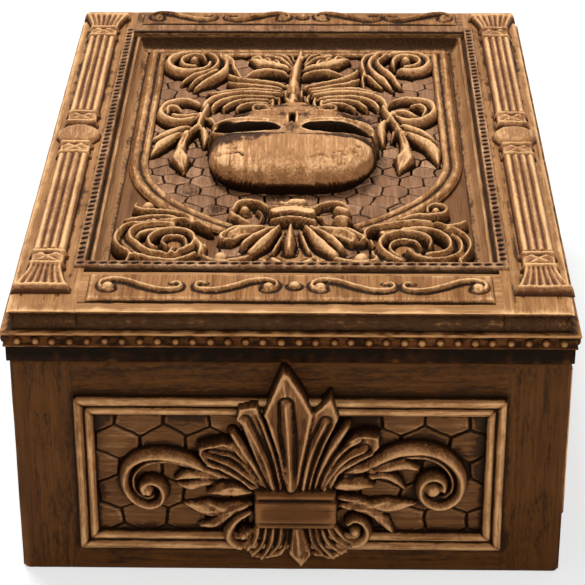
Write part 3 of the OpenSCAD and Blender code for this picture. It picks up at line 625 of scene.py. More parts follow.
def rect_ring(name, hx, hy, section, place, material, step, wobble, seed, mitre=0.7):
    """A mitred moulding round a rectangle. Its section lists (distance in, height, tone)."""
    nx, ny = int(2 * hx / step), int(2 * hy / step)
    sx, sy = np.linspace(-1, 1, nx, endpoint=False), np.linspace(-1, 1, ny, endpoint=False)
    ux = np.concatenate([sx, np.ones(ny), -sx, -np.ones(ny)])
    uy = np.concatenate([-np.ones(nx), sy, np.ones(nx), -sy])
    n, k = len(ux), len(section)
    run = np.arange(n) * step
    corner = np.minimum(hx * (1 - np.abs(ux)) + hy * (1 - np.abs(uy)), 9)
    low = min(z for _, z, _ in section)
    verts, tones = [], []
    for q, (off, z, t) in enumerate(section):
        free = 0 if z == low else wobble * np.clip(corner / 1.5, 0, 1)
        inset = off + np.maximum(free * lattice_noise(run * 0.25, np.full(n, q * 0.35), seed), -off)
        lift = free * lattice_noise(run * 0.3, np.full(n, q * 0.35 + 9), seed + 2)
        verts.append(place(ux * (hx - inset), uy * (hy - inset), z + np.minimum(lift, 0)))
        marks = (0.14 * lattice_noise(run * 0.3, np.full(n, q * 0.8), seed + 4)
                 + 0.1 * lattice_noise(run * 1.9, np.full(n, q * 1.3), seed + 5))
        tones.append(t + marks - mitre * np.exp(-(corner / 0.35) ** 2))
    return mesh_of(name, woven(verts), loft(n, k, True), split(woven(tones)), material, crisp=60)


# Honeycomb of uneven cells with narrow grooves

CELL_ROW = 0.87


def honeycomb(relief, cell, seed, depth, width, jitter=0.14, tall=1.0, shift=(0, 0)):
    """Uneven cells with grooves between them. They are tall times as high as they are wide."""
    rng = np.random.default_rng(seed)
    rows = int((relief.y[-1] - relief.y[0]) / (cell * CELL_ROW * tall)) + 6
    cols = int((relief.x[-1] - relief.x[0]) / cell) + 5
    x0, y0 = relief.x[0] + shift[0], (relief.y[0] + shift[1]) / tall
    pts = [(x0 + (c - 2 + 0.5 * (r % 2)) * cell, y0 + (r - 2) * cell * CELL_ROW)
           for r in range(rows) for c in range(cols)]
    pts = np.array(pts) + rng.uniform(-jitter, jitter, (len(pts), 2)) * cell
    wx = relief.X + 0.2 * relief.noise(seed + 3, 0.6)
    wy = relief.Y / tall + 0.2 * relief.noise(seed + 4, 0.6)
    # the squared distance to the nearest and the second nearest centre, and those two centres
    first, second = np.full(wx.shape, 1e9), np.full(wx.shape, 1e9)
    p1, p2 = np.zeros(wx.shape + (2,)), np.zeros(wx.shape + (2,))
    tilt, shade = np.zeros(wx.shape), np.zeros(wx.shape)
    for p, w in zip(pts, rng.uniform(-1, 1, (len(pts), 3))):
        d = (wx - p[0]) ** 2 + (wy - p[1]) ** 2
        m, m2 = d < first, (d >= first) & (d < second)
        second = np.where(m, first, np.where(m2, d, second))
        p2 = np.where(m[..., None], p1, np.where(m2[..., None], p, p2))
        first = np.where(m, d, first)
        p1 = np.where(m[..., None], p, p1)
        tilt = np.where(m, (wx - p[0]) * w[0] + (wy - p[1]) * w[1], tilt)
        shade = np.where(m, w[2], shade)
    gap = (second - first) / (2 * np.maximum(np.linalg.norm(p2 - p1, axis=2), 1e-6))
    groove = np.clip(1.35 - gap / width, 0, 1) ** 1.3
    rim = np.exp(-((gap - 2.2 * width) / (0.8 * width)) ** 2)
    relief.H = 0.12 * np.clip(gap / 1.6, 0, 1) + 0.04 * tilt + 0.03 * shade - depth * groove
    # painted shade in the grooves, a paler rim beside them, and each cell's own tone
    relief.tone = 0.16 + 0.3 * shade + 0.3 * rim - 1.5 * groove


# Front, side and back panels

CARTOUCHE_TOP = 3.98


def cartouche(seed, step):
    """A fan of petals over a stepped tablet, with a smaller fan below and a scroll each side."""
    r = Relief(-33, 33, -20.6, 23.2, step)
    s = r.stroke
    # side scrolls, each a band with a thin rib inside it that closes on its eye
    s(smooth((-9, -1), (-14, 0.2), (-18, 1.9), (-21, 2.7), (-24.4, 2.8), (-26.6, 2.1), (-28.2, 0.2),
             (-28.5, -1.8), (-27.8, -3.8), (-26.2, -4.8), (-24.9, -4.4)), 0.42, [1.7, 2.2, 2.3, 2.3, 2.3],
      base=0.2)
    s(smooth((-10, -0.6), (-14.5, 1.2), (-18, 3.1), (-21.2, 4.1), (-24.6, 4.4), (-27.6, 3.6), (-29.5, 1.7),
             (-30.1, -0.9), (-29.7, -3.2), (-28.2, -5.2), (-26, -6.2), (-24.1, -5.8), (-23.1, -4.4),
             (-23.2, -2.6), (-24.2, -1.3), (-25.8, -1.1), (-26.9, -2.2), (-26.6, -3.4)),
      [0.7, 1.1, 1.2, 1.25, 1.3, 1.3, 1.25, 1.1, 1.0, 0.95, 0.95, 1.0, 1.0, 0.9, 0.8],
      [2.0, 2.5, 2.8, 2.9, 3.0, 3.0, 3.0, 2.9, 2.8, 2.8, 2.9, 3.0, 3.1, 3.2, 3.2], moat=0.7, base=0.2)
    r.ball(-25.7, -2.7, 1.2, 3.5, moat=0.5)
    r.cut([(-24.5, -3.3), (-24.4, -3.2)], 0.6, 1.6)
    s(smooth((11, -1.6), (15.5, 2.2), (18.6, 3.5), (22.2, 4.2), (25.4, 3.8), (28, 2.1), (29.4, -0.4),
             (29.3, -2.8), (28, -4.5), (26.2, -4.5)), 0.42, [1.7, 2.2, 2.3, 2.3, 2.3], base=0.2)
    s(smooth((10, 0.4), (14.6, 2.6), (18.2, 4.9), (21.8, 5.8), (25.2, 5.6), (28.4, 4.0), (30.6, 1.2),
             (31.2, -1.8), (30.4, -4.4), (28.2, -6), (25.8, -5.8), (24.1, -4.2), (23.8, -2.2), (24.6, -0.4),
             (26.4, 0.2), (27.8, -0.8), (27.9, -2.4)),
      [0.8, 1.2, 1.35, 1.35, 1.35, 1.35, 1.3, 1.2, 1.1, 1.0, 1.0, 1.1, 1.1, 1.0, 0.8],
      [2.1, 2.5, 2.8, 2.9, 3.0, 3.0, 3.0, 3.0, 2.9, 2.8, 2.9, 3.0, 3.1, 3.2, 3.2], moat=0.7, base=0.2)
    r.ball(25.9, -2.2, 1.75, 3.6, moat=0.5)
    r.cut(smooth((26.6, -4.3), (27.6, -4.4), (28.6, -3.5)), 0.5, 1.5)
    # leaves behind the buds
    r.strokes((
        ([(-13, -0.3), (-15.5, 0.1), (-18.4, 0.3), (-20.9, -0.9)], [0.8, 1.1, 1.2, 0.3],
         [2.0, 2.5, 2.5, 1.7]),
        ([(-13.5, -1.6), (-16, -1.5), (-18.4, -2.3), (-20.4, -2.1)], [0.7, 1.2, 1.2, 0.3],
         [1.6, 2.1, 2.0, 1.2]),
        ([(14.6, 0.9), (17.6, 2.1), (20.4, 2.7), (22.9, 1.8)], [0.8, 1.2, 1.3, 0.6], [2.0, 2.6, 2.7, 2.0]),
        ([(14.4, -0.2), (17, 0.3), (19.2, -0.8), (20.8, -2.8)], [0.6, 0.9, 0.9, 0.3], [1.9, 2.2, 2.1, 1.3]),
        ([(8.6, 0.2), (11, 1.6), (13.4, 2.0), (15.2, 1.0)], [0.6, 1.1, 1.1, 0.4], [2.0, 2.4, 2.3, 1.4]),
        ([(8.2, -4.2), (11, -4.9), (14.6, -5.6)], [0.5, 0.9, 0.4], [2.2, 2.5, 1.8]),
    ), "crest", moat=0.5)
    r.strokes((
        ([(-7, -6), (-11.5, -7.3), (-15.4, -7.1), (-19.2, -6.4)], [0.8, 1.5, 1.8, 0.3],
         [2.0, 2.6, 2.6, 1.4]),
        ([(8, -5.8), (13, -6.6), (18, -6.4), (22.9, -6.0)], [0.6, 1.4, 1.7, 0.3], [2.0, 2.6, 2.6, 1.5]),
        ([(-8, -6.2), (-11.4, -8.3), (-14, -10.4), (-16.6, -11)], [0.5, 0.9, 1.2, 0.4],
         [2.4, 2.7, 2.5, 1.4]),
        ([(12, -6.8), (15.4, -8), (17.2, -9.8), (18.8, -12.2)], [0.5, 1.0, 1.3, 0.4], [2.0, 2.5, 2.4, 1.4]),
    ), "crest", moat=0.7, veins=3)
    # the buds
    for line, rib in (
        (smooth((-7, -3.0), (-10.4, -2.6), (-12.8, -2.8), (-14.9, -3.5)),
         smooth((-8.6, -1.9), (-11, -1.6), (-13.4, -2.8))),
        (smooth((7.6, -1.7), (10.6, -1.3), (13, -1.3), (15.2, -1.9)),
         smooth((8.6, -0.9), (11, -0.6), (13.6, -1.2))),
    ):
        s(line, [0.9, 1.9, 1.8, 0.4], [2.4, 3.4, 3.2, 2.0], moat=0.9)
        s(rib, [0.3, 0.4, 0.3], [3.2, 3.7, 3.0])
    # small scrolls below
    s(smooth((-7.2, -7.6), (-9.6, -9.0), (-11.0, -11), (-11.3, -13), (-10.2, -14.6), (-8.4, -15.0),
             (-7, -14.2), (-6.9, -12.8), (-7.6, -11.7)), [0.6, 0.95, 1.15, 1.15, 1.0, 0.85, 0.7],
      [2.2, 2.8, 3.0, 3.0, 2.9, 2.8, 3.0], moat=0.6, base=0.4)
    r.ball(-8.6, -12.2, 1.2, 3.4, moat=0.6)
    s(smooth((6.6, -10.2), (7.8, -12.6), (10, -14.1), (12.4, -14.2), (13.9, -12.9), (14.1, -11),
             (13.2, -9.4), (11.7, -8.9), (10.5, -9.8)), [0.7, 0.95, 1.15, 1.15, 1.0, 0.85, 0.7],
      [2.3, 2.8, 3.0, 3.0, 3.0, 3.0, 2.9], moat=0.6, base=0.4)
    r.ball(11.9, -11.3, 1.25, 3.4, moat=0.6)
    # the lower fan
    for outline in (
        arr((-6.4, -9.8), (0.4, -9.8), (0, -14.6), (-1.4, -17), (-4.6, -18.2), (-7.4, -17.6), (-8.6, -15.2)),
        arr((2, -9.8), (8, -9.8), (11, -14), (10.8, -16.4), (7.6, -18.2), (4, -17), (2.6, -14.6)),
    ):
        r.plate(outline, 2.1, 0.3, 0.3)
    for a, b, c, w in (
        ((-5.6, -9.8), (-6.2, -13.2), (-8.2, -16.2), 0.75),
        ((-4.3, -10), (-4.9, -13.8), (-7.2, -17.4), 0.85), ((-3.0, -10), (-3.5, -14), (-5.6, -18.5), 0.95),
        ((-1.6, -10.2), (-2.0, -14), (-3.8, -17), 0.75), ((6.6, -9.8), (7.8, -12.6), (10.6, -15.2), 0.65),
        ((5.5, -10), (6.6, -13.4), (9.6, -16.7), 0.75), ((4.5, -10), (5.3, -14), (8.2, -17.8), 0.85),
        ((3.5, -10.2), (4.1, -13.8), (6.2, -17), 0.75),
    ):
        s(smooth(a, b, c), [0.6, w, 0.8 * w, 0.3], [2.6, 2.9, 2.8, 2.0], moat=0.8)
    r.plate(arr((0.2, -9.8), (2.4, -9.8), (3.2, -13), (4.1, -16.2), (2, -19.4), (-0.4, -16.2), (0, -13)),
            3.0, 0.6, 1.0)
    s(smooth((1.2, -10), (1.5, -13.2), (1.7, -15.6), (1.9, -18)), [0.7, 1.2, 1.5, 0.2], [3.2, 3.6, 3.6, 2.8],
      "crest", moat=0.7)
    # the upper fan, from the outermost petals in
    for outline in (
        arr((-15, 2.2), (-16.5, 5), (-16.7, 6.9), (-12, 8.1), (-10.4, 7.6), (-8.5, 5), (-6, 0), (-4.8, -2.6),
            (-7.2, -2.6), (-9.6, 0.2), (-12.4, 2)),
        arr((15, 5.1), (16.3, 7.2), (16.1, 9.5), (13.6, 9.9), (11.4, 9.3), (8, 5), (6, 1), (4.9, -2.6),
            (7.4, -2.6), (9, 0.8), (12, 3.3)),
    ):
        r.plate(outline, 2.9, 0.8, rise=0.04)
    r.strokes((
        ([(-5.4, -2.4), (-7.8, 0.6), (-11, 3.4), (-14.8, 5.0)], [0.5, 0.85, 0.95, 0.7],
         [2.6, 3.3, 3.6, 3.5]),
        ([(-5.0, -1.8), (-7.6, 1.8), (-10.2, 4.6), (-12.6, 5.3), (-14.6, 5.8)], [0.3, 0.4, 0.45, 0.3],
         [2.6, 3.0, 3.2, 3.0]),
        ([(-6.4, -2.4), (-9, -0.4), (-12, 1.6), (-14.6, 3.2)], [0.4, 0.55, 0.6, 0.4], [2.3, 2.6, 2.8, 2.6]),
        ([(6, -2.4), (7.8, 1.4), (10.4, 4.8), (13.4, 6.4)], [0.5, 0.9, 1.05, 0.8], [2.6, 3.4, 3.7, 3.6]),
        ([(5.4, -2.0), (7.2, 2.6), (9.8, 6.4), (12.6, 8.3)], [0.3, 0.4, 0.5, 0.4], [2.6, 3.0, 3.3, 3.2]),
        ([(7.2, -1.8), (9.2, 1.8), (12, 4.2), (14.8, 5.7)], [0.3, 0.45, 0.5, 0.4], [2.3, 2.6, 2.9, 2.8]),
    ), moat=0.9)
    for line in (smooth((-4.2, -2.4), (-6.4, 2.4), (-8.4, 5.8), (-10.4, 9.3)),
                 smooth((4.4, -2.4), (5.4, 1.6), (7.4, 6.2), (10.3, 10.8))):
        s(line, [0.6, 1.0, 1.3, 0.8], [2.5, 2.9, 3.1, 2.6], moat=1.0)
    for outline in (
        arr((-9.2, 15.4), (-9.8, 12.6), (-8.8, 11.4), (-7.3, 7), (-4.7, 0), (-3.8, -2.6), (-0.8, -2.6),
            (-1, 0), (-2.5, 6), (-4.3, 12), (-5.2, 14), (-5.6, 15.9), (-7.4, 15.8)),
        arr((7.4, 18.1), (8.9, 13.2), (8.4, 11.8), (6.6, 7.6), (4.6, 2), (3.8, -2.6), (1.4, -2.6), (2.1, 4),
            (3.1, 9), (3.7, 14.1), (5.2, 15.5)),
    ):
        r.plate(outline, 2.8, 0.7, rise=0.05)
    r.strokes((
        ([(-2.9, -2.4), (-4.4, 3.6), (-6.2, 8.2), (-8.0, 12.5)], [0.5, 0.65, 0.8, 0.8],
         [3.0, 3.4, 3.8, 3.8]),
        ([(-1.7, -2.4), (-2.8, 4), (-4.4, 10), (-5.6, 13.4)], [0.3, 0.35, 0.4, 0.3], [2.6, 3.0, 3.3, 3.2]),
        ([(2.4, -2.4), (3.2, 3), (4.6, 8), (6.4, 12.3)], [0.5, 0.65, 0.8, 0.8], [3.0, 3.4, 3.8, 3.8]),
        ([(3.5, -2.4), (4.5, 2), (6.2, 7.6), (8, 11.6)], [0.3, 0.35, 0.4, 0.3], [2.6, 2.9, 3.1, 3.0]),
    ), moat=0.9)
    r.plate(arr((-1.3, 23), (-2.3, 20.6), (-4.9, 13.8), (-4.4, 12.8), (-2.2, 5), (-0.8, -2.6), (1.4, -2.6),
                (2.7, 5), (4, 12.6), (4.2, 14.2), (2.4, 18.2), (0, 22.2)), 3.2, 0.75, moat=1.2, rise=0.02)
    s(smooth((-1.2, 22), (-1.0, 19), (-0.8, 17.2)), [0.3, 0.5, 0.4], [3.2, 3.7, 3.6], "sharp")
    s(smooth((0.2, -2.4), (-0.2, 6), (-0.5, 12), (-0.7, 15.8)), [0.7, 0.95, 1.25, 1.1], [3.4, 3.9, 4.0, 4.0],
      moat=1.1)
    r.H += np.where(r.H > 0.3, 0.08 * r.noise(seed, 0.5), 0)
    r.soften(0.16 / step)
    r.age("y", seed, 0.05, 0.05)
    # the stepped tablet
    r.box(-6.4, 8.4, -10.3, -2.5, 3.0, 0.4)
    r.box(-6.2, 8.2, -3.9, -2.8, 3.55, 0.4)
    r.box(-6.5, 8.5, -8.7, -4.25, 3.95, 0.35)
    r.box(-6.1, 8.1, -10.1, -9.4, 3.4, 0.3)
    r.H = np.minimum(r.H, CARTOUCHE_TOP)
    return r


# the frame's section: (distance in, height, tone); painted shade at its feet and in its groove, paler on its
# worn crests
FRAME_SECTION = [
    (0.0, 0.0, -0.8), (0.0, 0.8, -0.3), (0.08, 1.2, 0.2), (0.35, 1.5, 0.55), (0.8, 1.6, 0.6),
    (1.25, 1.5, 0.4), (1.55, 1.15, -0.1), (1.7, 0.75, -0.8), (1.9, 0.72, -0.8), (2.05, 1.05, -0.1),
    (2.3, 1.3, 0.45), (2.7, 1.38, 0.6), (3.1, 1.28, 0.4), (3.4, 1.0, -0.1), (3.56, 0.5, -0.6),
    (3.6, 0.0, -1.0),
]


def panels():
    for side, word in enumerate(SIDES):
        front = side == 0
        half = halves(side)[0] - PANEL_SIDE
        place = on_wall(side)
        r = cartouche(40 + side, 0.19 if front else 0.26)
        # the carving leans a little on the front. On the other sides it stands upright, with its finial
        # laid back under the lid's edge.
        lean = 0.0 if front else 0.066
        if not front:
            r.H = np.minimum(r.H, CARTOUCHE_TOP - 0.28 * np.clip(r.Y - 15.5, 0, 9))
        upright = lambda u, v, h, place=place, lean=lean: place(u + lean * v - lean * 4.5, v, h)
        carving = solid(r, word + "_cartouche_carved", upright, CARVED, 0.2)
        c = centres(carving)
        v = c[:, 2] - PANEL_Z
        u = c[:, side % 2] * (1 if side < 2 else -1) - lean * v + lean * 4.5
        second_material(carving, TABLET[AXES[side]], (np.abs(u - 1) < 7.55) & (np.abs(v + 6.4) < 3.95))
        settle(carving, "base", "carving", word + "_cartouche")

        ring = rect_ring(word + "_moulding", half, PANEL_TALL, FRAME_SECTION, place, MOULD["z"], 0.6, 0.05,
                         60 + side)
        c = centres(ring)
        second_material(ring, MOULD[AXES[side]],
                        (half - np.abs(c[:, side % 2])) > (PANEL_TALL - np.abs(c[:, 2] - PANEL_Z)))
        settle(ring, "base", "panel_moulding", word + "_frame")

        hx, hy = half - FRAME_W + 1, PANEL_TALL - FRAME_W + 1
        fr = Relief(-hx, hx, -hy, hy, 0.2 if front else 0.28)
        honeycomb(fr, 7.9, 20 + side, 0.7, 0.26, 0.1, 0.77, (1.2, 3.34))
        fr.H += 0.07 * fr.grain("x", 3)
        fr.H -= fr.H.max()
        # painted shade along the field's border, under the frame
        rim = fr.inset(-hx, hx, -hy, hy) - 1
        tone = np.clip(fr.tone - 0.9 * np.exp(-np.maximum(rim, 0) / 1.1), -1, 1)
        # a soft painted shade round the carving
        i, j = (np.clip(np.round((a - b[0]) / r.step).astype(int), 0, len(b) - 1)
                for a, b in ((fr.X, r.x), (fr.Y, r.y)))
        carving_shade = blur((r.H[i, j] > 0).astype(float), 0.8 / fr.step)
        tone = np.clip(tone - 1.3 * carving_shade, -1, 1)
        piece = solid(fr, word + "_honeycomb", place, COMB, 1.5, split(tone), np.ones(fr.H.shape, bool))
        settle(piece, "base", "honeycomb", word + "_field")


def walls():
    """Walls with eased edges. The stiles' grain runs up, the rails' along."""
    for side, word in enumerate(SIDES):
        half = halves(side)[0]
        hole = half - PANEL_SIDE - FRAME_W + 1.1
        above = WALL_H - PANEL_Z
        r = Relief(-half, half, -PANEL_Z, above, 0.5)
        x, y = np.abs(r.X), r.Y
        side_in, up_in = half - x, np.minimum(y + PANEL_Z, above - y)
        stile = np.clip((x - (hole + 2.4)) / 0.6, 0, 1)
        marks = stile * r.grain("y", 7 + side) + (1 - stile) * r.grain("x", 9 + side)
        r.H = 0.035 * marks + 0.05 * r.noise(side + 3, 0.12) - 0.1
        for inset, radius in ((side_in, 0.9), (up_in, 0.7)):
            r.H -= radius * (1 - np.sqrt(np.clip(1 - (1 - np.clip(inset / radius, 0, 1)) ** 2, 0, 1))) * 0.6
        # worn pale at the edges; painted shadow under the lid and painted shade round the panel
        tone = 0.75 * np.exp(-side_in / 0.8) + 0.45 * np.exp(-up_in / 0.6) - 0.12 + 0.18 * marks
        tone -= 0.25 * np.exp(-(above - y) / 2.0)
        tone -= 0.5 * np.exp(-np.abs(np.maximum(x - (hole + 2.5), np.abs(y) - PANEL_TALL)) / 0.6)
        flat = on_wall(side)

        def place(u, v, z, flat=flat, half=half):
            # mitred at the corners
            return flat(u * (1 + np.minimum(z, 0) / half), v, z)

        piece = solid(r, word + "_wall_board", place, WALL["z"], 5.0, split(tone),
                      (x > hole) | (np.abs(y) > 13.5))
        second_material(piece, WALL[AXES[side]], np.abs(centres(piece)[:, side % 2]) < hole + 2.5)
        settle(piece, "base", "wall", word + "_wall")


# Lid edge with its row of beads

# the edge's section: (distance out, height, tone). The lip under the beads is dark with painted shadow from
# the band above it; the ledge's worn arris is pale.
EDGE_SECTION = [
    (-4.6, 44.5, 0), (0.1, 44.5, -0.3), (0.3, 44.7, -0.35), (0.3, 46.0, -0.6), (0.3, 47.3, -0.8),
    (0.32, 47.6, -1.0), (0.55, 47.62, -0.5), (0.7, 47.75, 0.45), (0.72, 47.95, 0.1), (0.62, 48.1, -0.3),
    (0.6, 48.9, -0.1), (0.62, 49.75, -0.2), (0.7, 50.1, -0.3), (0.9, 50.2, 0.0), (1.15, 50.24, 0.5),
    (1.2, 50.4, 0.8), (1.15, 50.62, 0.9), (0.9, 50.7, 0.6), (-1.5, 50.7, -0.6), (-4.6, 50.7, 0),
]
BEAD_PITCH, BEAD_OUT, BEAD_Z, BEAD_R = 3.1, 0.55, 48.92, 0.86


def bead(at, out, r):
    """A small dome on an upright face that looks the way of out, with a tone for each of its points: dark
    with painted shade at its foot, pale at its top with wear and a painted highlight.
    """
    side, ahead = np.array([-out[1], out[0], 0.0]), np.array([out[0], out[1], 0.0])
    up = np.array([0, 0, 1.0])
    rings, spokes = 4, 12
    verts, tones = [], []
    for i in range(rings + 1):
        a = math.pi / 2 * i / rings
        for k in range(spokes):
            b = 2 * math.pi * k / spokes
            flat = math.cos(a) * (math.cos(b) * side + math.sin(b) * up)
            verts.append(np.array(at) + r * (flat + math.sin(a) * ahead * 0.8))
            tones.append(math.sin(math.pi / 2 * i / rings) * 1.8 - 1.0)
    rims = [(i * spokes + k, i * spokes + (k + 1) % spokes) for i in range(rings) for k in range(spokes)]
    return verts, [(a, b, b + spokes, a + spokes) for a, b in rims], tones


def lid_edges():
    for side, word in enumerate(("near", "right", "far", "left")):
        half, out = halves(side)
        c, s = facing(side)
        n = 220 if side % 2 == 0 else 320
        verts, tones = [], []
        for q, (off, z, t) in enumerate(EDGE_SECTION):
            x = np.linspace(-1, 1, n) * (half + off)
            free = 0.0 if off < -1 else 0.05
            y = -(out + off + np.minimum(0, free * lattice_noise(x * 0.2, np.full(n, q * 0.3), 11 + side)))
            lift = free * lattice_noise(x * 0.16, np.full(n, q * 0.2), 31 + side) * (44.6 < z < 50.65)
            verts.append(np.stack([c * x - s * y, s * x + c * y, z + lift], 1))
            tones.append(t + 0.3 * lattice_noise(x * 0.8, np.full(n, q * 0.7), 5 + side))
        verts, tones, faces = list(woven(verts)), list(woven(tones)), loft(n, len(EDGE_SECTION))
        count = int(2 * (half - 0.6) / BEAD_PITCH)
        rng = np.random.default_rng(70 + side)
        for i in range(count + 1):
            x, y = (i - count / 2) * BEAD_PITCH + rng.uniform(-0.12, 0.12), -(out + BEAD_OUT)
            at = (c * x - s * y, s * x + c * y, BEAD_Z + rng.uniform(-0.05, 0.05))
            dome, sides, shades = bead(at, (s, -c), BEAD_R + rng.uniform(-0.05, 0.03))
            faces += [tuple(len(verts) + a for a in face) for face in sides]
            verts += dome
            tones += shades
        piece = mesh_of("edge_" + word, verts, faces, split(np.array(tones)), EDGE[AXES[side]], crisp=60)
        settle(piece, "lid", "wall", "lid_edge_" + word)


# The lid's boards: a worn top, and a hollow outer face below it

# the hollow face's rows: (distance out, drop, tone); pale at the worn arris, then painted shade under it,
# darkest at the foot
COVE = [(0.0, -0.5, 0.3), (-0.25, -0.95, -0.36), (-0.75, -1.5, -0.55), (-1.05, -2.2, -0.44),
        (-0.95, -3.0, -0.34), (-0.55, -3.7, -0.4), (-0.2, -4.0, -0.6), (0.0, -4.1, -1.0)]


def board(name, x0, x1, y0, y1, coved, height, tone, axis, step=0.5):
    """A board with a flat top. coved says which sides (-x, +x, -y, +y) carry the hollow face."""
    r = Relief(x0, x1, y0, y1, step)
    z = TOP_Z + height(r.X, r.Y)
    nx, ny = r.X.shape
    ring = ([(i, 0) for i in range(nx)] + [(nx - 1, j) for j in range(1, ny)]
            + [(i, ny - 1) for i in range(nx - 2, -1, -1)] + [(0, j) for j in range(ny - 2, 0, -1)])
    index = np.arange(nx * ny).reshape(nx, ny)
    verts = [np.stack([r.X, r.Y, z], 2).reshape(-1, 3)]
    tones = [tone(r.X, r.Y).reshape(-1)]
    cells = np.stack([index[:-1, :-1], index[1:, :-1], index[1:, 1:], index[:-1, 1:]], 2)
    faces = cells.reshape(-1, 4).tolist()
    last, start = [index[i, j] for i, j in ring], nx * ny
    out = np.array([[(-coved[0] if i == 0 else coved[1] if i == nx - 1 else 0),
                     (-coved[2] if j == 0 else coved[3] if j == ny - 1 else 0)] for i, j in ring], float)
    base = np.array([[r.X[i, j], r.Y[i, j], z[i, j]] for i, j in ring])
    faced = np.abs(out).max(1)
    count = len(ring)
    s = np.arange(count) * step
    for k, (off, drop, shade) in enumerate(COVE):
        row = base.copy()
        wob = 0.06 * lattice_noise(s * 0.2, np.full(count, k * 0.3), 17)
        row[:, :2] += out * (off + wob * (k < 7))[:, None]
        row[:, 2] = np.minimum(TOP_Z + drop, base[:, 2] - 0.02 * (k + 1))
        verts.append(row)
        marks = (0.05 * lattice_noise(s * 0.2, np.full(count, k * 0.5), 23)
                 + 0.05 * lattice_noise(s * 1.1, np.full(count, k * 0.9), 24))
        tones.append(faced * (shade + marks) - (1 - faced) * 0.2)
        now = list(range(start, start + count))
        faces += [(last[a], now[a], now[(a + 1) % count], last[(a + 1) % count]) for a in range(count)]
        last, start = now, start + count
    faces.append(tuple(last)[::-1])
    piece = mesh_of(name, np.vstack(verts), faces, split(np.concatenate(tones)), BOARD[axis], crisp=50)
    settle(piece, "lid", "lid_frame", "lid_" + name)


def lid_top(x, y):
    """Height of the lid's plain top over its nominal one: lower at the ends, worn at the arris."""
    end = np.clip((np.abs(y) - 70.4) / 4.4, 0, 1)
    side = np.clip((np.abs(x) - 48.9) / 0.9, 0, 1)
    wave = 0.05 * lattice_noise(x * 0.15, y * 0.15, 8) - 0.06
    return wave - 0.42 * end ** 1.4 - 0.3 * side ** 2


def lid_tone(axis):
    def tone(x, y):
        rim = np.minimum(BOARD_X - np.abs(x), BOARD_Y - np.abs(y))
        t = 0.15 + 0.9 * np.exp(-rim / 0.7) + 0.25 * grain(x, y, axis, 12)
        # painted shade along the columns and beside the pitted strips; darker outside the columns towards
        # the far end, and on the far rail
        col = np.abs(np.abs(x) - 44.4) - 3.2
        t = t - 0.45 * np.exp(-np.abs(col) / 0.5) * (np.abs(y) < 70)
        t = t - 0.3 * np.exp(-np.abs(np.abs(x) - 39.7) / 0.4)
        t = t - 0.22 * np.clip((np.abs(x) - 46.8) / 1.2, 0, 1) * np.clip((y + 30) / 60, 0, 1) * (rim > 0.7)
        t = t - 0.4 * np.clip((y - 60) / 1.0, 0, 1) * (axis == "x")
        return t + 0.2 * lattice_noise(x * 0.5, y * 0.5, 14)
    return tone


NEAR_LINE = -59.4


def near_top(x, y):
    """The near rail has a dark line along its middle."""
    h = lid_top(x, y) + 0.03 * grain(x, y, "x", 5)
    line = NEAR_LINE + 0.12 * lattice_noise(x * 0.12, y * 0, 4)
    return h - 1.4 * np.clip((0.85 - np.abs(y - line)) / 0.3, 0, 1)


def near_tone(x, y):
    # painted shade in the groove and along the plaque's edges
    t = lid_tone("x")(x, y) - 1.4 * np.clip((1.0 - np.abs(y - NEAR_LINE)) / 0.4, 0, 1)
    return t - 0.5 * np.exp(-np.abs(y + 72) / 0.5) - 0.5 * np.exp(-np.abs(y + 61.6) / 0.5)


def lid_boards():
    board("stile_left", -BOARD_X, -OPEN_X, -BOARD_Y, BOARD_Y, (1, 0, 1, 1), lid_top, lid_tone("y"), "y")
    board("stile_right", OPEN_X, BOARD_X, -BOARD_Y, BOARD_Y, (0, 1, 1, 1), lid_top, lid_tone("y"), "y")
    board("rail_near", -OPEN_X, OPEN_X, -BOARD_Y, OPEN_NEAR, (0, 0, 1, 0), near_top, near_tone, "x", 0.4)
    board("rail_far", -OPEN_X, OPEN_X, OPEN_FAR, BOARD_Y, (0, 0, 0, 1), lid_top, lid_tone("x"), "x")


# Strips and mouldings round the recess

def pitted(name, x0, x1, y0, y1, node, seed):
    """A narrow strip with a row of slanting pits."""
    r = Relief(x0, x1, y0, y1, 0.16)
    rim_in = r.inset(x0, x1, y0, y1)
    r.H = 0.6 * np.clip(rim_in / 0.35 + 0.45, 0, 1) ** 0.6
    long_x = (x1 - x0) > (y1 - y0)
    start, end, mid = (x0, x1, (y0 + y1) / 2) if long_x else (y0, y1, (x0 + x1) / 2)
    rng = np.random.default_rng(seed)
    tone = np.full(r.H.shape, 0.02) + 0.4 * (rim_in < 0.4)
    for u in np.arange(start + 1.2, end - 0.6, 2.0):
        u, v = u + rng.uniform(-0.15, 0.15), mid + rng.uniform(-0.08, 0.08)
        px, py = (u, v) if long_x else (v, u)
        turn = 0.25 if long_x else 0.75 + rng.uniform(-0.2, 0.2)
        a = (r.X - px) * math.cos(turn) + (r.Y - py) * math.sin(turn)
        b = (r.Y - py) * math.cos(turn) - (r.X - px) * math.sin(turn)
        d = np.hypot(a / 1.25, b / 0.85)
        hole = np.exp(-(d / 0.5) ** 2)
        rim = np.exp(-((d - 0.8) / 0.2) ** 2)
        r.H += 0.06 * rim - 0.55 * hole
        # painted shade in each pit, and a paler rim round it
        tone += 0.25 * rim - 2.0 * hole
    r.H += 0.03 * r.noise(seed, 1.3)
    r.H = np.clip(r.H, 0.03, 0.6)
    tone += 0.2 * r.noise(seed + 1, 0.9)
    settle(solid(r, name, on_top, PIT, 0.2, split(tone)), "lid", "moulding", node)


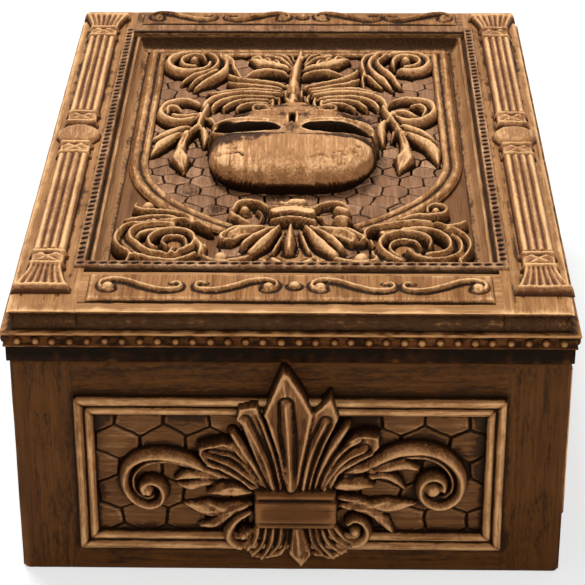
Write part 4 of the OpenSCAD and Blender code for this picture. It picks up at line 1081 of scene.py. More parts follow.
def far_band():
    half = 2.15
    r = Relief(-OPEN_X, OPEN_X, OPEN_FAR, OPEN_FAR + 2 * half, 0.25)
    q = np.abs(r.Y - OPEN_FAR - half) / half
    r.H = 0.03 + 0.57 * np.clip(1 - q ** 2.4, 0, 1) + 0.05 * r.noise(3, 0.35, 0.6)
    r.H = np.clip(r.H - 0.05, 0.02, 0.6)
    # painted shade where the band falls away at its edges
    tone = 0.1 - 1.2 * np.clip((q - 0.72) / 0.28, 0, 1) + 0.3 * r.noise(6, 0.7, 0.4)
    settle(solid(r, "far_band", on_top, PIT, 0.2, split(tone)), "lid", "moulding", "far_moulding")


def recess_ring():
    # its section: (distance in, height, tone); painted shade at its feet, paler on its worn upper edge
    section = [(0.0, 50.7, -1.0), (0.02, 53.5, -0.6), (0.35, 53.5, -0.5), (0.6, 53.55, -0.4),
               (0.7, 53.85, 0.0), (0.95, 53.98, 0.4)]
    for a in np.linspace(0, 80, 9):
        c, t = math.cos(math.radians(a)), math.sin(math.radians(a))
        section.append((3.4 - 2.1 * c, 54.0 - 3.0 * t, 0.55 * c ** 2 - 0.2))
    section += [(3.38, 51.0, -0.5), (3.4, 50.7, -0.7)]
    ring = rect_ring("recess_hollow", OPEN_X, OPEN_L, section, on_lid(0), SLOPE, 0.6, 0.06, 33, 0.2)
    # painted shade: the far slope is the darkest
    co = points_of(ring) / MM
    far = (OPEN_L - (co[:, 1] - OPEN_Y)) < (OPEN_X - np.abs(co[:, 0])) - 0.4
    foot = np.clip((co[:, 2] - 51.2) / 0.6, 0, 1)
    for key, change in (("wash_and_shade", lambda v: np.clip(v + 0.5 * far * foot, 0, 1)),
                        ("worn", lambda v: v * (1 - 0.7 * far * foot))):
        data, value = ring.data.attributes[key].data, np.zeros(len(co))
        data.foreach_get("value", value)
        data.foreach_set("value", change(value).astype(np.float32))
    settle(ring, "lid", "moulding", "cove_frame")


# The arch

ARCH_X, ARCH_FAR = 31.8, 53.1
# the band's section: (distance to the left, height, tone); painted shade at its feet and in its groove,
# paler on its crests
ARCH_SECTION = [
    (-2.0, 50.7, -0.8), (-2.0, 51.2, -0.4), (-1.95, 51.5, 0.1), (-1.7, 51.75, -0.2), (-1.4, 52.0, 0.2),
    (-1.0, 52.2, 0.55), (-0.5, 52.15, 0.3), (-0.1, 51.95, -0.2), (0.2, 51.75, -0.6), (0.4, 51.8, -0.4),
    (0.75, 52.15, 0.3), (1.25, 52.3, 0.6), (1.75, 52.1, 0.2), (1.98, 51.6, -0.4), (2.0, 50.7, -0.8),
]


def arch_line():
    near = bezier((12.5, -38), (ARCH_X - 1.5, -26), (ARCH_X, -8), 22)
    return np.vstack([near, arr((ARCH_X, ARCH_FAR), (-ARCH_X, ARCH_FAR)), near[::-1] * [-1, 1]])


def arch():
    piece = sweep("arch_band", arch_line(), ARCH_SECTION, on_lid(0), ORNAMENT, 0.8, 0.07, 21)
    settle(piece, "lid", "moulding", "arch_moulding")


def lid_comb():
    r = Relief(-31.5, 31.5, -55, 53, 0.24)
    x, y = r.X, r.Y
    honeycomb(r, 5.2, 5, 0.5, 0.2)
    r.H += 0.05 * r.grain("y", 9)
    r.H += 0.56 - r.H.max()
    within = inside(arch_line(), x, y) | ((np.abs(x) < 14.4) & (y > -54.6) & (y < -36))
    # painted shade beside the skull's cheeks
    tone = r.tone + 0.15 * r.noise(2, 0.4)
    mark = 1 + 0.5 * r.noise(3, 0.9)
    for e in (-1, 1):
        tone = tone - 1.1 * mark * np.exp(-((x - e * 14.2) / 3.2) ** 2 - ((y - 9.6) / 5) ** 2)
        tone = tone - 0.8 * mark * np.exp(-((x - e * 11.4) / 3) ** 2 - ((y - 17) / 3) ** 2)
    # the near cells' lines are worn faint: less painted shade in their grooves, and a little darker all over
    faint = np.clip((-8 - y) / 8, 0, 1) * np.clip(0.5 - 0.6 * r.noise(6, 0.2), 0.1, 0.9)
    tone = np.where(tone < -0.2, -0.2 + (tone + 0.2) * (1 - 0.9 * faint), tone) - 0.15 * faint
    piece = solid(r, "lid_honeycomb", on_lid(DECK_Z), LIDCOMB, 0.0, split(tone), within)
    settle(piece, "lid", "honeycomb", "lid_field")


# Carvings in the recess. Lengths along the lid are from the recess's centre.

CARVING_STEP = 0.22
CARVING_Z = FIELD_Z - 0.1


def in_recess(r, name, node, seed):
    """Softens and ages a carving, and sets it on the field of the lid's recess."""
    r.soften(0.7)
    r.age("y", seed, 0.06)
    settle(solid(r, name, on_lid(CARVING_Z), ORNAMENT, 0.3), "lid", "carving", node)


def crown():
    """Curved ribs each side of a stem, with two leaves and a fan at its top."""
    r = Relief(-21, 21, 19.5, 51.1, CARVING_STEP)
    s = r.stroke
    r.strokes((
        # arcs and ribs on the left
        ([(-2, 37.9), (-4.4, 39.3), (-7.4, 39.7), (-10, 39), (-11.5, 37.2)], [0.7, 0.9, 1.1, 0.9, 0.4],
         [2.2, 2.4, 2.5, 2.2, 1.5]),
        ([(-2, 31), (-6, 32.6), (-10.6, 33.4), (-13.4, 34.8), (-15.2, 38)], [0.7, 0.9, 1.0, 1.0, 0.5],
         [2.1, 2.4, 2.6, 2.6, 2.0]),
        ([(-3, 29.6), (-6, 30.6), (-10, 31), (-13.4, 31.8), (-15.3, 34.2)], [0.6, 0.8, 0.9, 0.9, 0.4],
         [2.0, 2.2, 2.4, 2.4, 1.8]),
        ([(-3, 28.4), (-8, 28.8), (-13, 28.2), (-16.6, 27.3), (-19.4, 28.2)], [0.6, 0.8, 1.1, 1.0, 0.4],
         [2.0, 2.2, 2.4, 2.3, 1.6]),
        ([(-3, 26.6), (-8, 26.9), (-12.6, 26.3), (-16.6, 24.6), (-19.2, 22), (-19.8, 19.8)],
         [0.7, 0.9, 1.0, 1.1, 1.0, 0.9], [2.2, 2.4, 2.6, 2.7, 2.6, 2.2]),
        ([(-4, 25), (-9, 25), (-13.4, 24.2), (-16.6, 22.2), (-18, 19.8)], [0.6, 0.8, 0.9, 0.9, 0.7],
         [2.0, 2.2, 2.4, 2.4, 2.0]),
        ([(-5, 23.6), (-8.6, 23.6), (-12, 23), (-14.4, 21.4), (-15.6, 19.8)], [0.5, 0.7, 0.8, 0.7, 0.6],
         [1.9, 2.0, 2.1, 2.1, 1.8]),
        ([(-5.6, 22.2), (-9, 22), (-11.6, 21.2), (-12.8, 19.8)], [0.5, 0.7, 0.7, 0.5], [1.7, 1.9, 1.9, 1.6]),
        # and on the right
        ([(1, 37.3), (3.4, 38.7), (6.4, 39.4), (9.8, 37.9)], [0.7, 0.9, 1.1, 0.5], [2.2, 2.4, 2.5, 1.8]),
        ([(1.6, 30.6), (4.8, 31.9), (8.2, 33.2), (11.3, 35.6), (12.7, 38.4), (13.3, 41.2)],
         [0.7, 0.9, 1.0, 1.1, 0.9, 0.4], [2.1, 2.4, 2.6, 2.7, 2.5, 1.8]),
        ([(2.6, 29.6), (6, 30.4), (10, 31.7), (12.4, 33.5), (13.6, 36)], [0.6, 0.8, 0.9, 0.9, 0.4],
         [2.0, 2.2, 2.4, 2.4, 1.8]),
        ([(3, 28), (7, 29.1), (12, 29.5), (17, 28.7)], [0.6, 0.8, 0.9, 0.4], [2.0, 2.2, 2.3, 1.7]),
        ([(3.4, 26), (8, 27.1), (12, 26.9), (16, 25.4), (18.4, 22.9), (19.1, 19.9)],
         [0.7, 0.9, 1.0, 1.1, 1.0, 0.8], [2.2, 2.5, 2.6, 2.7, 2.6, 2.2]),
        ([(4.6, 24.8), (10, 25.1), (14, 24.1), (16.4, 22), (17.4, 19.8)], [0.6, 0.8, 0.9, 0.9, 0.7],
         [2.0, 2.2, 2.4, 2.4, 2.0]),
        ([(5.6, 23.6), (10, 23.6), (13, 22.4), (14.9, 19.9)], [0.5, 0.7, 0.8, 0.6], [1.9, 2.0, 2.1, 1.8]),
        ([(6, 22), (9.6, 22), (12.4, 19.8)], [0.5, 0.7, 0.5], [1.7, 1.9, 1.6]),
    ), moat=0.6)
    # the two leaves and the fan at the top
    for e, tip in ((-1, (-10.9, 47.4)), (1, (11.5, 47.6))):
        s(smooth((e * 1.4, 41.2), (e * 4.6, 43.1), (e * 8, 45), tip), [0.7, 1.4, 1.8, 0.3],
          [2.1, 2.6, 2.6, 1.8], "crest", moat=0.7)
        for k in range(3):
            s(smooth((e * (4 + 2 * k), 43.4 + 1.2 * k), (e * (4.8 + 2 * k), 45.4 + 1.1 * k),
                     (e * (6.8 + 2 * k), 46.8 + 0.8 * k)), [0.5, 0.7, 0.3], [2.3, 2.5, 1.8], "crest",
              moat=0.4)
        s(smooth((e * 1.5, 43), (e * 3.9, 46.6), (e * 7.4, 49.9)), [0.6, 0.9, 0.8], [2.3, 2.5, 1.8],
          moat=0.9)
        s(smooth((e * 1.3, 44.6), (e * 2.6, 47.6), (e * 4.6, 50.8)), [0.5, 0.7, 0.7], [2.3, 2.4, 1.8],
          moat=0.9)
        s(smooth((e * 0.9, 46), (e * 1.3, 48.4), (e * 2.2, 50.9)), [0.4, 0.5, 0.5], [2.3, 2.4, 1.8],
          moat=0.8)
        # small bones under the leaves
        for k in range(3):
            s(smooth((e * (2.6 + 1.3 * k), 25.4 - 0.8 * k), (e * (2.2 + 1.5 * k), 23.2 - 0.8 * k),
                     (e * (2.8 + 1.3 * k), 20.6)), [0.5, 0.6, 0.5], [2.4 - 0.3 * k, 2.3 - 0.3 * k, 1.6],
              moat=0.7)
    s(smooth((-0.9, 22.6), (-0.9, 28), (-0.8, 34), (-0.5, 40), (0.2, 46), (0.6, 51)),
      [1.9, 2.2, 1.3, 1.5, 1.1, 0.9], [2.2, 2.5, 2.7, 2.8, 2.7, 2.2], moat=0.9)
    for line in (arr((-2.4, 26.4), (-2.6, 24.4)), arr((0.9, 26.2), (1.0, 24)),
                 arr((-0.8, 28.6), (-0.8, 26.4))):
        s(line, [0.6, 0.4], [3.1, 2.9], moat=0.5)
    for x, y, w in ((-2.9, 22.4, 0.9), (0.5, 22.5, 1.0), (2.1, 21.4, 0.6)):
        r.cut([(x, y), (x + 0.1, y - 0.6)], w, 2.6)
    in_recess(r, "crown_carved", "crown_palmette", 50)


def spray(sign, word):
    """A leafy branch beside the skull, with a curl at its top."""
    x0, x1 = sorted((sign * 16.2, sign * 30))
    r = Relief(x0, x1, -14, 25.6, CARVING_STEP)
    s = r.stroke
    if sign < 0:
        curl = smooth((-20.9, 21.6), (-23, 23.1), (-25.6, 22.9), (-27.8, 21), (-28.7, 18), (-28.5, 14.6),
                      (-26.8, 11.9), (-24.2, 11), (-21.9, 12.3), (-20.4, 14.4))
        inner = smooth((-27.4, 16.4), (-27.3, 18.6), (-25.6, 18.9), (-24.2, 17.4))
        low = smooth((-26.2, 15), (-24.6, 14), (-22.6, 14.3), (-21, 15.4))
        stem = smooth((-19, 19.9), (-19.4, 17), (-19.9, 14), (-20.2, 11), (-20.6, 8.4), (-21.6, 6.6))
        leaves = (
            (smooth((-20.8, 8.6), (-24, 6.9), (-27, 5.1), (-29.6, 3.4)), [0.8, 1.2, 1.2, 0.4],
             [2.3, 2.6, 2.4, 1.4], 0),
            (smooth((-22, 6), (-25, 3.2), (-27.4, 0.4), (-29.4, -4.4)), [0.8, 1.2, 1.5, 0.3],
             [2.3, 2.6, 2.5, 1.4], 0),
            (smooth((-19.4, 13.8), (-18, 12.6), (-16.9, 10.8)), [0.6, 0.8, 0.4], [2.0, 2.1, 1.4], 0),
            (smooth((-20, 9), (-19.1, 6), (-18.7, 3), (-18.9, 0.4)), [0.6, 1.0, 1.1, 0.3],
             [2.2, 2.5, 2.4, 1.3], 0),
            (smooth((-21.6, 7), (-23, 3), (-23.6, -1.4), (-23.5, -6), (-22.4, -12)),
             [0.8, 0.9, 1.3, 2.3, 0.3], [2.4, 2.5, 2.6, 2.9, 1.5], 2),
        )
        knot = (-20.2, 13.6)
    else:
        curl = smooth((20.2, 22.6), (22.6, 24.2), (25.6, 23.9), (28.2, 22.6), (29.1, 20), (29, 16.8),
                      (28, 14), (26.2, 12.1), (24.2, 11.5), (22.3, 12.3), (21, 14))
        inner = smooth((24.3, 20.8), (26.4, 20), (27.4, 17.8), (26.6, 15.6))
        low = smooth((25.2, 14.4), (23.8, 16), (22.4, 17.2), (20.4, 16.6))
        stem = smooth((18.4, 19.6), (19.1, 16), (20, 12.6), (20.8, 9.6), (21.4, 7))
        leaves = (
            (smooth((20.9, 10.4), (24, 8), (26.8, 5.6), (28.8, 3.2)), [0.7, 1.0, 1.0, 0.4],
             [2.2, 2.5, 2.3, 1.4], 0),
            (smooth((21.4, 7.4), (24.2, 3.8), (27.2, 0), (28.4, -3.4), (29, -8)), [0.7, 1.2, 1.7, 1.5, 0.3],
             [2.3, 2.6, 2.8, 2.5, 1.3], 0),
            (smooth((19.4, 13.4), (17.9, 9.6), (17.7, 6), (18, 1.4)), [0.5, 1.1, 1.3, 0.4],
             [2.1, 2.5, 2.6, 1.4], 0),
            (smooth((20.6, 9), (20.4, 6), (19.8, 3.6)), [0.4, 0.7, 0.3], [2.1, 2.3, 1.4], 0),
            (smooth((21.2, 8), (22.2, 3.4), (22.6, -1), (22.4, -5.6), (20.9, -11.8)),
             [0.8, 0.9, 1.3, 2.3, 0.3], [2.4, 2.5, 2.6, 2.9, 1.5], 2),
        )
        knot = (20.4, 14.6)
    s(curl, [0.6, 0.9, 1.0, 1.0, 1.1, 1.2, 1.2, 1.1, 1.0, 0.9],
      [1.9, 2.2, 2.3, 2.4, 2.6, 2.7, 2.7, 2.6, 2.4], base=0.1)
    s(inner, [0.4, 0.8, 0.8, 0.4], [2.0, 2.5, 2.4, 1.6], moat=0.6)
    s(low, [0.7, 0.9, 0.8, 0.6], [2.2, 2.4, 2.3, 2.2], moat=0.6)
    for line, w, h, veins in leaves:
        s(line, w, h, "crest", moat=0.8, veins=veins)
        if veins:
            # the leaf's middle vein
            r.cut(line[6:int(len(line) * 0.66)], 0.22, 0.8)
    s(stem, [0.7, 0.9, 1.0, 0.9, 0.8], [2.4, 2.6, 2.8, 2.7, 2.5], moat=0.8)
    r.ball(*knot, 1.2, 2.9)
    in_recess(r, "spray_" + word + "_carved", "spray_" + word, 52 + sign)


def far_scroll(sign, word):
    """A scroll in a far corner, with ribs that run down from it."""
    x0, x1 = sorted((sign * 11.8, sign * 30))
    r = Relief(x0, x1, 29.4, 51.1, CARVING_STEP)
    s = r.stroke
    if sign < 0:
        ring = smooth((-21.4, 50.2), (-24, 50), (-26.8, 48.8), (-28.6, 46.4), (-28.8, 43.4), (-27.4, 40.6),
                      (-24.8, 39.3), (-22, 39.8), (-20, 41.8), (-19.6, 44.6))
        eye = smooth((-20.6, 45.6), (-21.6, 47.8), (-23.6, 48.2), (-25.6, 46.8), (-26, 44.4), (-24.8, 42.4),
                     (-22.6, 42.2))
        ball = (-23.2, 45.2)
        ribs = (
            (smooth((-20.6, 50.3), (-18.6, 47.4), (-17.8, 44), (-18.6, 40.6), (-20.6, 38.2), (-23.4, 36.8),
                    (-25.4, 34.4)), 1.0),
            (smooth((-17.4, 49.2), (-15.9, 45.4), (-15.8, 41.6), (-16.8, 38.4), (-18.6, 35.4), (-20.6, 33.2),
                    (-22.4, 31)), 1.2),
            (smooth((-16.4, 48.8), (-14.6, 45), (-14.2, 41.4), (-13.2, 38.8), (-12.4, 37)), 0.7),
            (smooth((-17.8, 40), (-19.8, 36.6), (-22, 34.2), (-23.6, 32.2)), 0.7),
        )
    else:
        ring = smooth((20.4, 50.3), (23.4, 50.2), (26.4, 49.4), (28.6, 47.4), (29, 44.4), (27.9, 41.6),
                      (25.6, 40.2), (22.8, 40.4))
        eye = smooth((21.2, 42.6), (21.2, 45.4), (22.2, 47.6), (24.4, 48.4), (26.6, 47.2), (27, 44.8),
                     (25.8, 42.8), (23.6, 42.4))
        ball = (24, 45.6)
        ribs = (
            (smooth((19.8, 49.6), (18, 46.6), (17.7, 43.6), (18.7, 40.4), (20.4, 37.4), (21.6, 34),
                    (22.6, 32)), 1.0),
            (smooth((17.9, 49.6), (16.1, 45.6), (15.7, 41.6), (16.9, 37.9), (19, 34.6), (20.5, 31.4)), 1.2),
            (smooth((18.6, 50.4), (15.6, 48.4), (14.3, 45), (14.3, 41), (15, 37.4), (16.6, 34.4),
                    (18.4, 32)), 0.8),
            (smooth((14.6, 38.6), (14.2, 34.6), (14.5, 31.4)), 0.5),
        )
    s(ring, [0.9, 1.2, 1.3, 1.4, 1.4, 1.4, 1.3, 1.2, 1.0], [2.4, 2.6, 2.7, 2.7, 2.6, 2.5, 2.4, 2.4],
      base=0.1)
    s(eye, [0.6, 0.9, 0.9, 0.9, 0.9, 0.8, 0.6], [2.5, 2.7, 2.8, 2.7, 2.6, 2.5, 2.4], moat=0.8)
    r.ball(*ball, 1.3, 2.9, moat=0.7)
    for line, w in ribs:
        s(line, [0.8 * w, w, w, 1.1 * w, w, 0.4], [2.4, 2.7, 2.8, 2.7, 2.4, 1.4], moat=0.9)
    in_recess(r, "far_scroll_" + word + "_carved", "far_scroll_" + word, 56 + sign)


# Where the knot is parted from the scrolls, and half the gap between them
KNOT_X, KNOT_GAP = 14.35, 0.03


def near_carvings():
    """The shell knot and the scrolls each side of it, carved as one and then parted."""
    r = Relief(-34.1, 34.1, -55.5, -26.2, CARVING_STEP)
    s = r.stroke
    # low ground between the scrolls' ribs
    for line, w, h in (
        (smooth((-24, -38), (-28.6, -39.4), (-31.6, -42.6), (-31.2, -46.6), (-28.6, -50.2), (-25, -52.4),
                (-21.6, -52)), 2.1, 2.0),
        (smooth((18, -40.4), (24, -38.8), (29, -41), (31.6, -45.4), (31, -49.6), (28, -52)), 2.0, 2.0),
        (arr((-22.9, -46.4), (-22.7, -46)), 4.0, 1.3), (arr((21.4, -47.4), (21.6, -47.2)), 4.0, 1.3),
        (smooth((-20, -52.6), (-17.6, -50), (-17.2, -46)), 1.3, 1.9),
        (smooth((17.4, -54), (16, -50), (15.4, -46)), 1.2, 1.7),
    ):
        s(line, w, h, "flat")
    r.strokes((
        # left
        ([(-19.2, -36.3), (-24, -35.3), (-28, -35.4), (-32.4, -34.8)], [0.6, 0.9, 0.9, 0.4],
         [2.7, 3.0, 2.9, 1.8]),
        ([(-15.8, -40), (-18.4, -37.4), (-21.6, -36.7), (-25.6, -36.9), (-29.2, -37.9), (-31.8, -39.8),
          (-33.2, -42.8), (-33.3, -45.6), (-32.4, -48.4), (-30.4, -50.8), (-28, -52.5), (-25, -53.9),
          (-22, -54.2), (-19.6, -52.9), (-17.9, -51)], [0.7, 0.85, 0.85, 0.85, 0.8, 0.85, 0.8],
         [2.8, 3.1, 3.2, 3.2, 3.2, 3.1, 3.0]),
        ([(-23, -37.8), (-26.6, -38), (-29.4, -39.3), (-30.8, -41.8), (-30.5, -44.6), (-29, -47.2),
          (-27.4, -49.6), (-25.4, -51.1), (-22.8, -51.4), (-20.4, -50), (-18.8, -47.6), (-18.3, -45),
          (-19.4, -42.6), (-21.4, -41.4), (-23.6, -41.4), (-25.8, -42.8), (-27, -45), (-26.8, -47.2),
          (-25.8, -49)], 0.85, [2.6, 3.0, 3.2, 3.2, 3.3, 3.3, 3.2]),
        ([(-19.9, -47.6), (-20, -45), (-21, -43.3), (-22.8, -42.9), (-24.3, -44), (-24.5, -45.8),
          (-23.6, -47.2)], 0.5, 2.6),
        ([(-22.7, -50.6), (-22.4, -49), (-22.2, -47)], [0.9, 0.7, 0.3], [3.0, 2.8, 2.0]),
        ([(-17.7, -44.6), (-17.1, -47.4), (-17.3, -50.2)], [0.4, 0.8, 0.5], [2.3, 2.6, 2.4]),
        ([(-30.4, -51.6), (-30.8, -53.6), (-30.2, -55.2)], [0.5, 0.5, 0.4], [2.4, 2.0, 1.4]),
        ([(-19, -36.2), (-21.4, -34), (-24, -32.9), (-26.8, -32.4), (-29, -31.9), (-30.6, -30.4),
          (-30.6, -28.2)], [0.7, 0.75, 0.75, 0.7, 0.7, 0.7, 0.5], [2.8, 2.9, 2.9, 2.9, 2.8, 2.6, 2.2]),
        # right
        ([(15.2, -46), (13.6, -42.6), (14.4, -40.2), (17, -38.9), (20.4, -37.8), (24, -37.5), (27.4, -38.5),
          (30.2, -40.3), (32.2, -42.8), (33.2, -45.6), (33.1, -48.4), (32, -50.8), (31, -53)],
         [0.6, 0.7, 0.85, 0.85, 0.8, 0.8], [2.6, 3.0, 3.2, 3.2, 3.2, 2.8]),
        ([(21.6, -49.2), (23, -51.7), (25.4, -53.1), (28.2, -53), (30.6, -51.3), (31.6, -48.6),
          (31.4, -45.4), (30, -42.6)], 0.7, 3.1),
        ([(20.8, -39.9), (24, -39.7), (27, -41), (29, -43.4), (29.6, -46), (29.2, -48.8), (27.4, -50.6),
          (25, -51)], 0.75, [2.6, 3.0, 3.1, 3.0]),
        ([(25.6, -48.2), (26, -45.6), (24.9, -43.5), (22.6, -42.3), (19.8, -42.3), (17.5, -43.7),
          (16.4, -46.2), (16.7, -49), (18.1, -51.4), (20.4, -53.6)], [0.6, 0.85, 0.9, 0.9, 0.85, 0.7],
         [3.0, 3.3, 3.3, 3.3, 3.2, 2.8]),
        ([(24, -47.4), (23.2, -45.4), (21.4, -44.5), (19.4, -45), (18.3, -46.9), (18.5, -49.2),
          (19.8, -51.2)], 0.5, 2.7),
        ([(17.4, -54.6), (21, -55), (25.4, -54.9)], 0.5, 2.3),
        ([(31, -52.8), (31.6, -54.2), (32.8, -55.2)], [0.6, 0.6, 0.3], [2.6, 2.2, 1.4]),
        ([(27.4, -38.4), (30.4, -38.7), (32.4, -37.2), (33.2, -34.2)], [0.6, 1.0, 0.9, 0.3],
         [2.6, 2.9, 2.7, 1.6]),
        ([(20.4, -36), (23.4, -34.3), (26.2, -34), (28.6, -33.2), (29.6, -31.3), (29.2, -29.4),
          (27.6, -28.6), (26.1, -29.5), (26, -31)], [0.7, 0.75, 0.7, 0.7, 0.65, 0.6, 0.5],
         [2.8, 2.9, 2.9, 2.8, 2.7, 2.6, 2.4]),
        # feet of the knot, which run out past it
        ([(-7.8, -50.8), (-9.2, -52.9), (-11.8, -54.3), (-14.2, -54.1), (-16.1, -52.5), (-16.6, -50.4)],
         [0.6, 0.9, 1.0, 1.0, 0.9, 0.5], [2.2, 2.8, 3.0, 3.0, 2.8, 2.2]),
        ([(8, -51.4), (9.8, -53.7), (12.4, -54.5), (14.8, -54), (15.7, -52.3), (15.1, -50.5)],
         [0.6, 0.9, 1.0, 1.0, 0.8, 0.5], [2.2, 2.8, 3.0, 3.0, 2.8, 2.4]),
    ), moat=0.9, base=0.3)
    for x, y, rad in ((-28.3, -29.2, 1.5), (27.5, -31, 1.15), (-13.3, -51, 1.7), (12.9, -51.2, 1.8)):
        r.ball(x, y, rad + 0.9, 0.9)
        r.ball(x, y, rad, 2.4, moat=0.8)
    r.cut([(-25.4, -47.6), (-25.2, -47)], 0.9, 1.4)
    r.cut([(24.9, -48.6), (24.7, -49.8)], 0.7, 1.4)
    # curls beside the collar
    r.strokes((
        ([(-4.6, -30.6), (-6.4, -28.7), (-9, -27.9), (-10.9, -29), (-11.7, -31.4)],
         [0.6, 0.7, 0.8, 0.9, 0.8], [2.4, 2.8, 2.9, 2.9, 2.6]),
        ([(-7, -31), (-6, -33.4), (-6.5, -36.6)], [0.4, 0.5, 0.4], [2.2, 2.5, 2.3]),
        ([(-12, -33.6), (-10.9, -35.8), (-8.4, -38.2)], [1.0, 1.35, 1.0], [3.0, 3.3, 2.8]),
        ([(3.4, -31), (5.2, -29.2), (7.6, -28.3), (9.8, -29.1), (10.8, -31)], [0.5, 0.6, 0.7, 0.7, 0.5],
         [2.4, 2.7, 2.8, 2.8, 2.4]),
        ([(4.6, -33), (5.8, -35), (6.4, -37)], [0.4, 0.5, 0.4], [2.2, 2.5, 2.3]),
        ([(8.4, -35.4), (10, -36.2), (11.4, -37.6)], [1.2, 1.9, 1.2], [2.8, 3.2, 2.6]),
    ), moat=0.8)
    r.ball(-9.4, -31.2, 1.3, 2.6, moat=0.7)
    s(arr((8.6, -31.4), (10.2, -32.2)), 1.2, 2.8, "dome", moat=0.7)
    # low ground between the petals, darkened by the wash and by painted shade
    r.plate(arr((-3.5, -38.5), (3.5, -38.5), (9, -45), (8.6, -50), (3, -52.4), (-3, -52.4), (-8.6, -50),
                (-9, -45)), 0.95, 0, 0.2)
    # petals, from the outermost in
    for line, w, h, shape in (
        (smooth((-3.6, -38.6), (-7, -39.9), (-10.4, -41.4), (-12.4, -43.8)), [0.8, 1.5, 2.1, 1.9],
         [2.6, 3.0, 3.3, 3.3], "trough"),
        (smooth((4, -38.4), (7, -40.4), (10, -42), (12.2, -44.4)), [0.8, 1.5, 2.1, 1.9],
         [2.6, 3.0, 3.3, 3.3], "trough"),
        (smooth((-4.6, -39.2), (-7, -40.2), (-10.2, -41.6), (-11.9, -43.6)), [0.4, 0.7, 0.95, 0.8],
         [2.8, 3.3, 3.55, 3.4], "round"),
        (smooth((5, -39.2), (7, -40.6), (9.8, -42.2), (11.7, -44.2)), [0.4, 0.7, 0.95, 0.8],
         [2.8, 3.3, 3.55, 3.4], "round"),
        (smooth((-3.4, -39), (-5.6, -42), (-7.6, -44.2), (-9.3, -46.4)), [0.6, 0.95, 1.15, 0.9],
         [2.8, 3.1, 3.2, 2.6], "round"),
        (smooth((3.2, -38.8), (5.6, -42.2), (7.8, -45), (9.3, -47.6)), [0.6, 0.95, 1.15, 0.9],
         [2.8, 3.1, 3.2, 2.6], "round"),
        (smooth((-1.5, -39.4), (-2.2, -44), (-3.6, -48.4)), [0.3, 0.7, 0.5], [2.6, 2.6, 1.8], "round"),
        (smooth((1.2, -39.4), (2, -44), (3.2, -48.4)), [0.3, 0.7, 0.5], [2.6, 2.6, 1.8], "round"),
        (smooth((-2.6, -39.4), (-4, -43), (-5.6, -46.2), (-7.7, -49.5)), [0.6, 1.1, 1.5, 1.1],
         [3.0, 3.4, 3.4, 2.5], "crest"),
        (smooth((2.4, -39.4), (4, -43.6), (5.6, -47), (7.9, -49.9)), [0.6, 1.1, 1.5, 1.1],
         [3.0, 3.4, 3.4, 2.5], "crest"),
        (smooth((-0.4, -39), (-0.5, -44), (-0.6, -48.6)), [0.6, 1.1, 1.5, 1.1], [3.1, 3.5, 3.5, 2.8],
         "round"),
        (smooth((-3.6, -50.4), (-2.4, -52.2), (-0.8, -53.4)), [0.7, 1.0, 0.4], [1.4, 1.6, 1.2], "crest"),
        (smooth((3.4, -50.8), (2.2, -52.4), (0.9, -53.4)), [0.7, 1.0, 0.4], [1.4, 1.6, 1.2], "crest"),
    ):
        s(line, w, h, shape, moat=1.1)
    for x in (-12.6, 12.5):
        r.cut([(x - 0.4, -47), (x + 0.5, -47.2)], 1.9, 3.0, "flat")
    # the collar and the beads above it
    s(smooth((-4.2, -37), (-2, -36.3), (0.6, -36.2), (4.3, -37.1)), 0.65, [3.0, 3.3, 3.3, 3.0], moat=0.8)
    s(smooth((-3.5, -33.7), (-0.4, -33.4), (3.2, -34)), 1.45, [3.2, 3.5, 3.2], "flat", moat=0.8)
    s(smooth((-4.6, -31.2), (-0.6, -30.9), (3.9, -31.8)), 0.55, [3.0, 3.4, 3.0], moat=0.9)
    s(arr((-2.4, -28.7), (-1.6, -28.7)), 0.9, 2.6, "dome", moat=0.5)
    s(arr((-0.4, -28.6), (1.8, -28.6)), 1.3, 3.0, "dome", moat=0.5)
    r.clear_of(arch_line(), 2.05)
    r.soften(0.7)
    r.age("y", 58, 0.06)
    wash_and_shade, worn = r.shades()
    middle = np.abs(r.X) < KNOT_X - KNOT_GAP
    petals = middle & (r.Y < -38.6) & (r.Y > -50.6) & (r.H > 1.5)
    collar = middle & (r.Y < -30) & (r.Y > -38)
    # the petals get less painted shade and a painted highlight; the collar is less pale
    wash_and_shade = np.where(petals, wash_and_shade * 0.6, wash_and_shade)
    worn = worn + np.where(petals, 0.12, np.where(collar, -0.14, 0))
    for node, name, keep in (
        ("shell_knot", "knot_carved", middle & (r.Y > -54.5)),
        ("near_scroll_left", "near_scroll_left_carved", r.X < -KNOT_X - KNOT_GAP),
        ("near_scroll_right", "near_scroll_right_carved", r.X > KNOT_X + KNOT_GAP),
    ):
        part = Relief(r.x[0], r.x[-1], r.y[0], r.y[-1], r.step)
        part.H = np.where(keep, r.H, -1)
        knot = node == "shell_knot"
        piece = solid(part, name, on_lid(DECK_Z), ORNAMENT, 0.0 if knot else 0.01, (wash_and_shade, worn))
        if knot:
            # it lies on the lid's field, above the others' ground
            co = points_of(piece)
            co[:, 2] = np.maximum(co[:, 2], (FIELD_Z - 0.3) * MM)
            piece.data.vertices.foreach_set("co", co.reshape(-1))
        settle(piece, "lid", "carving", node)


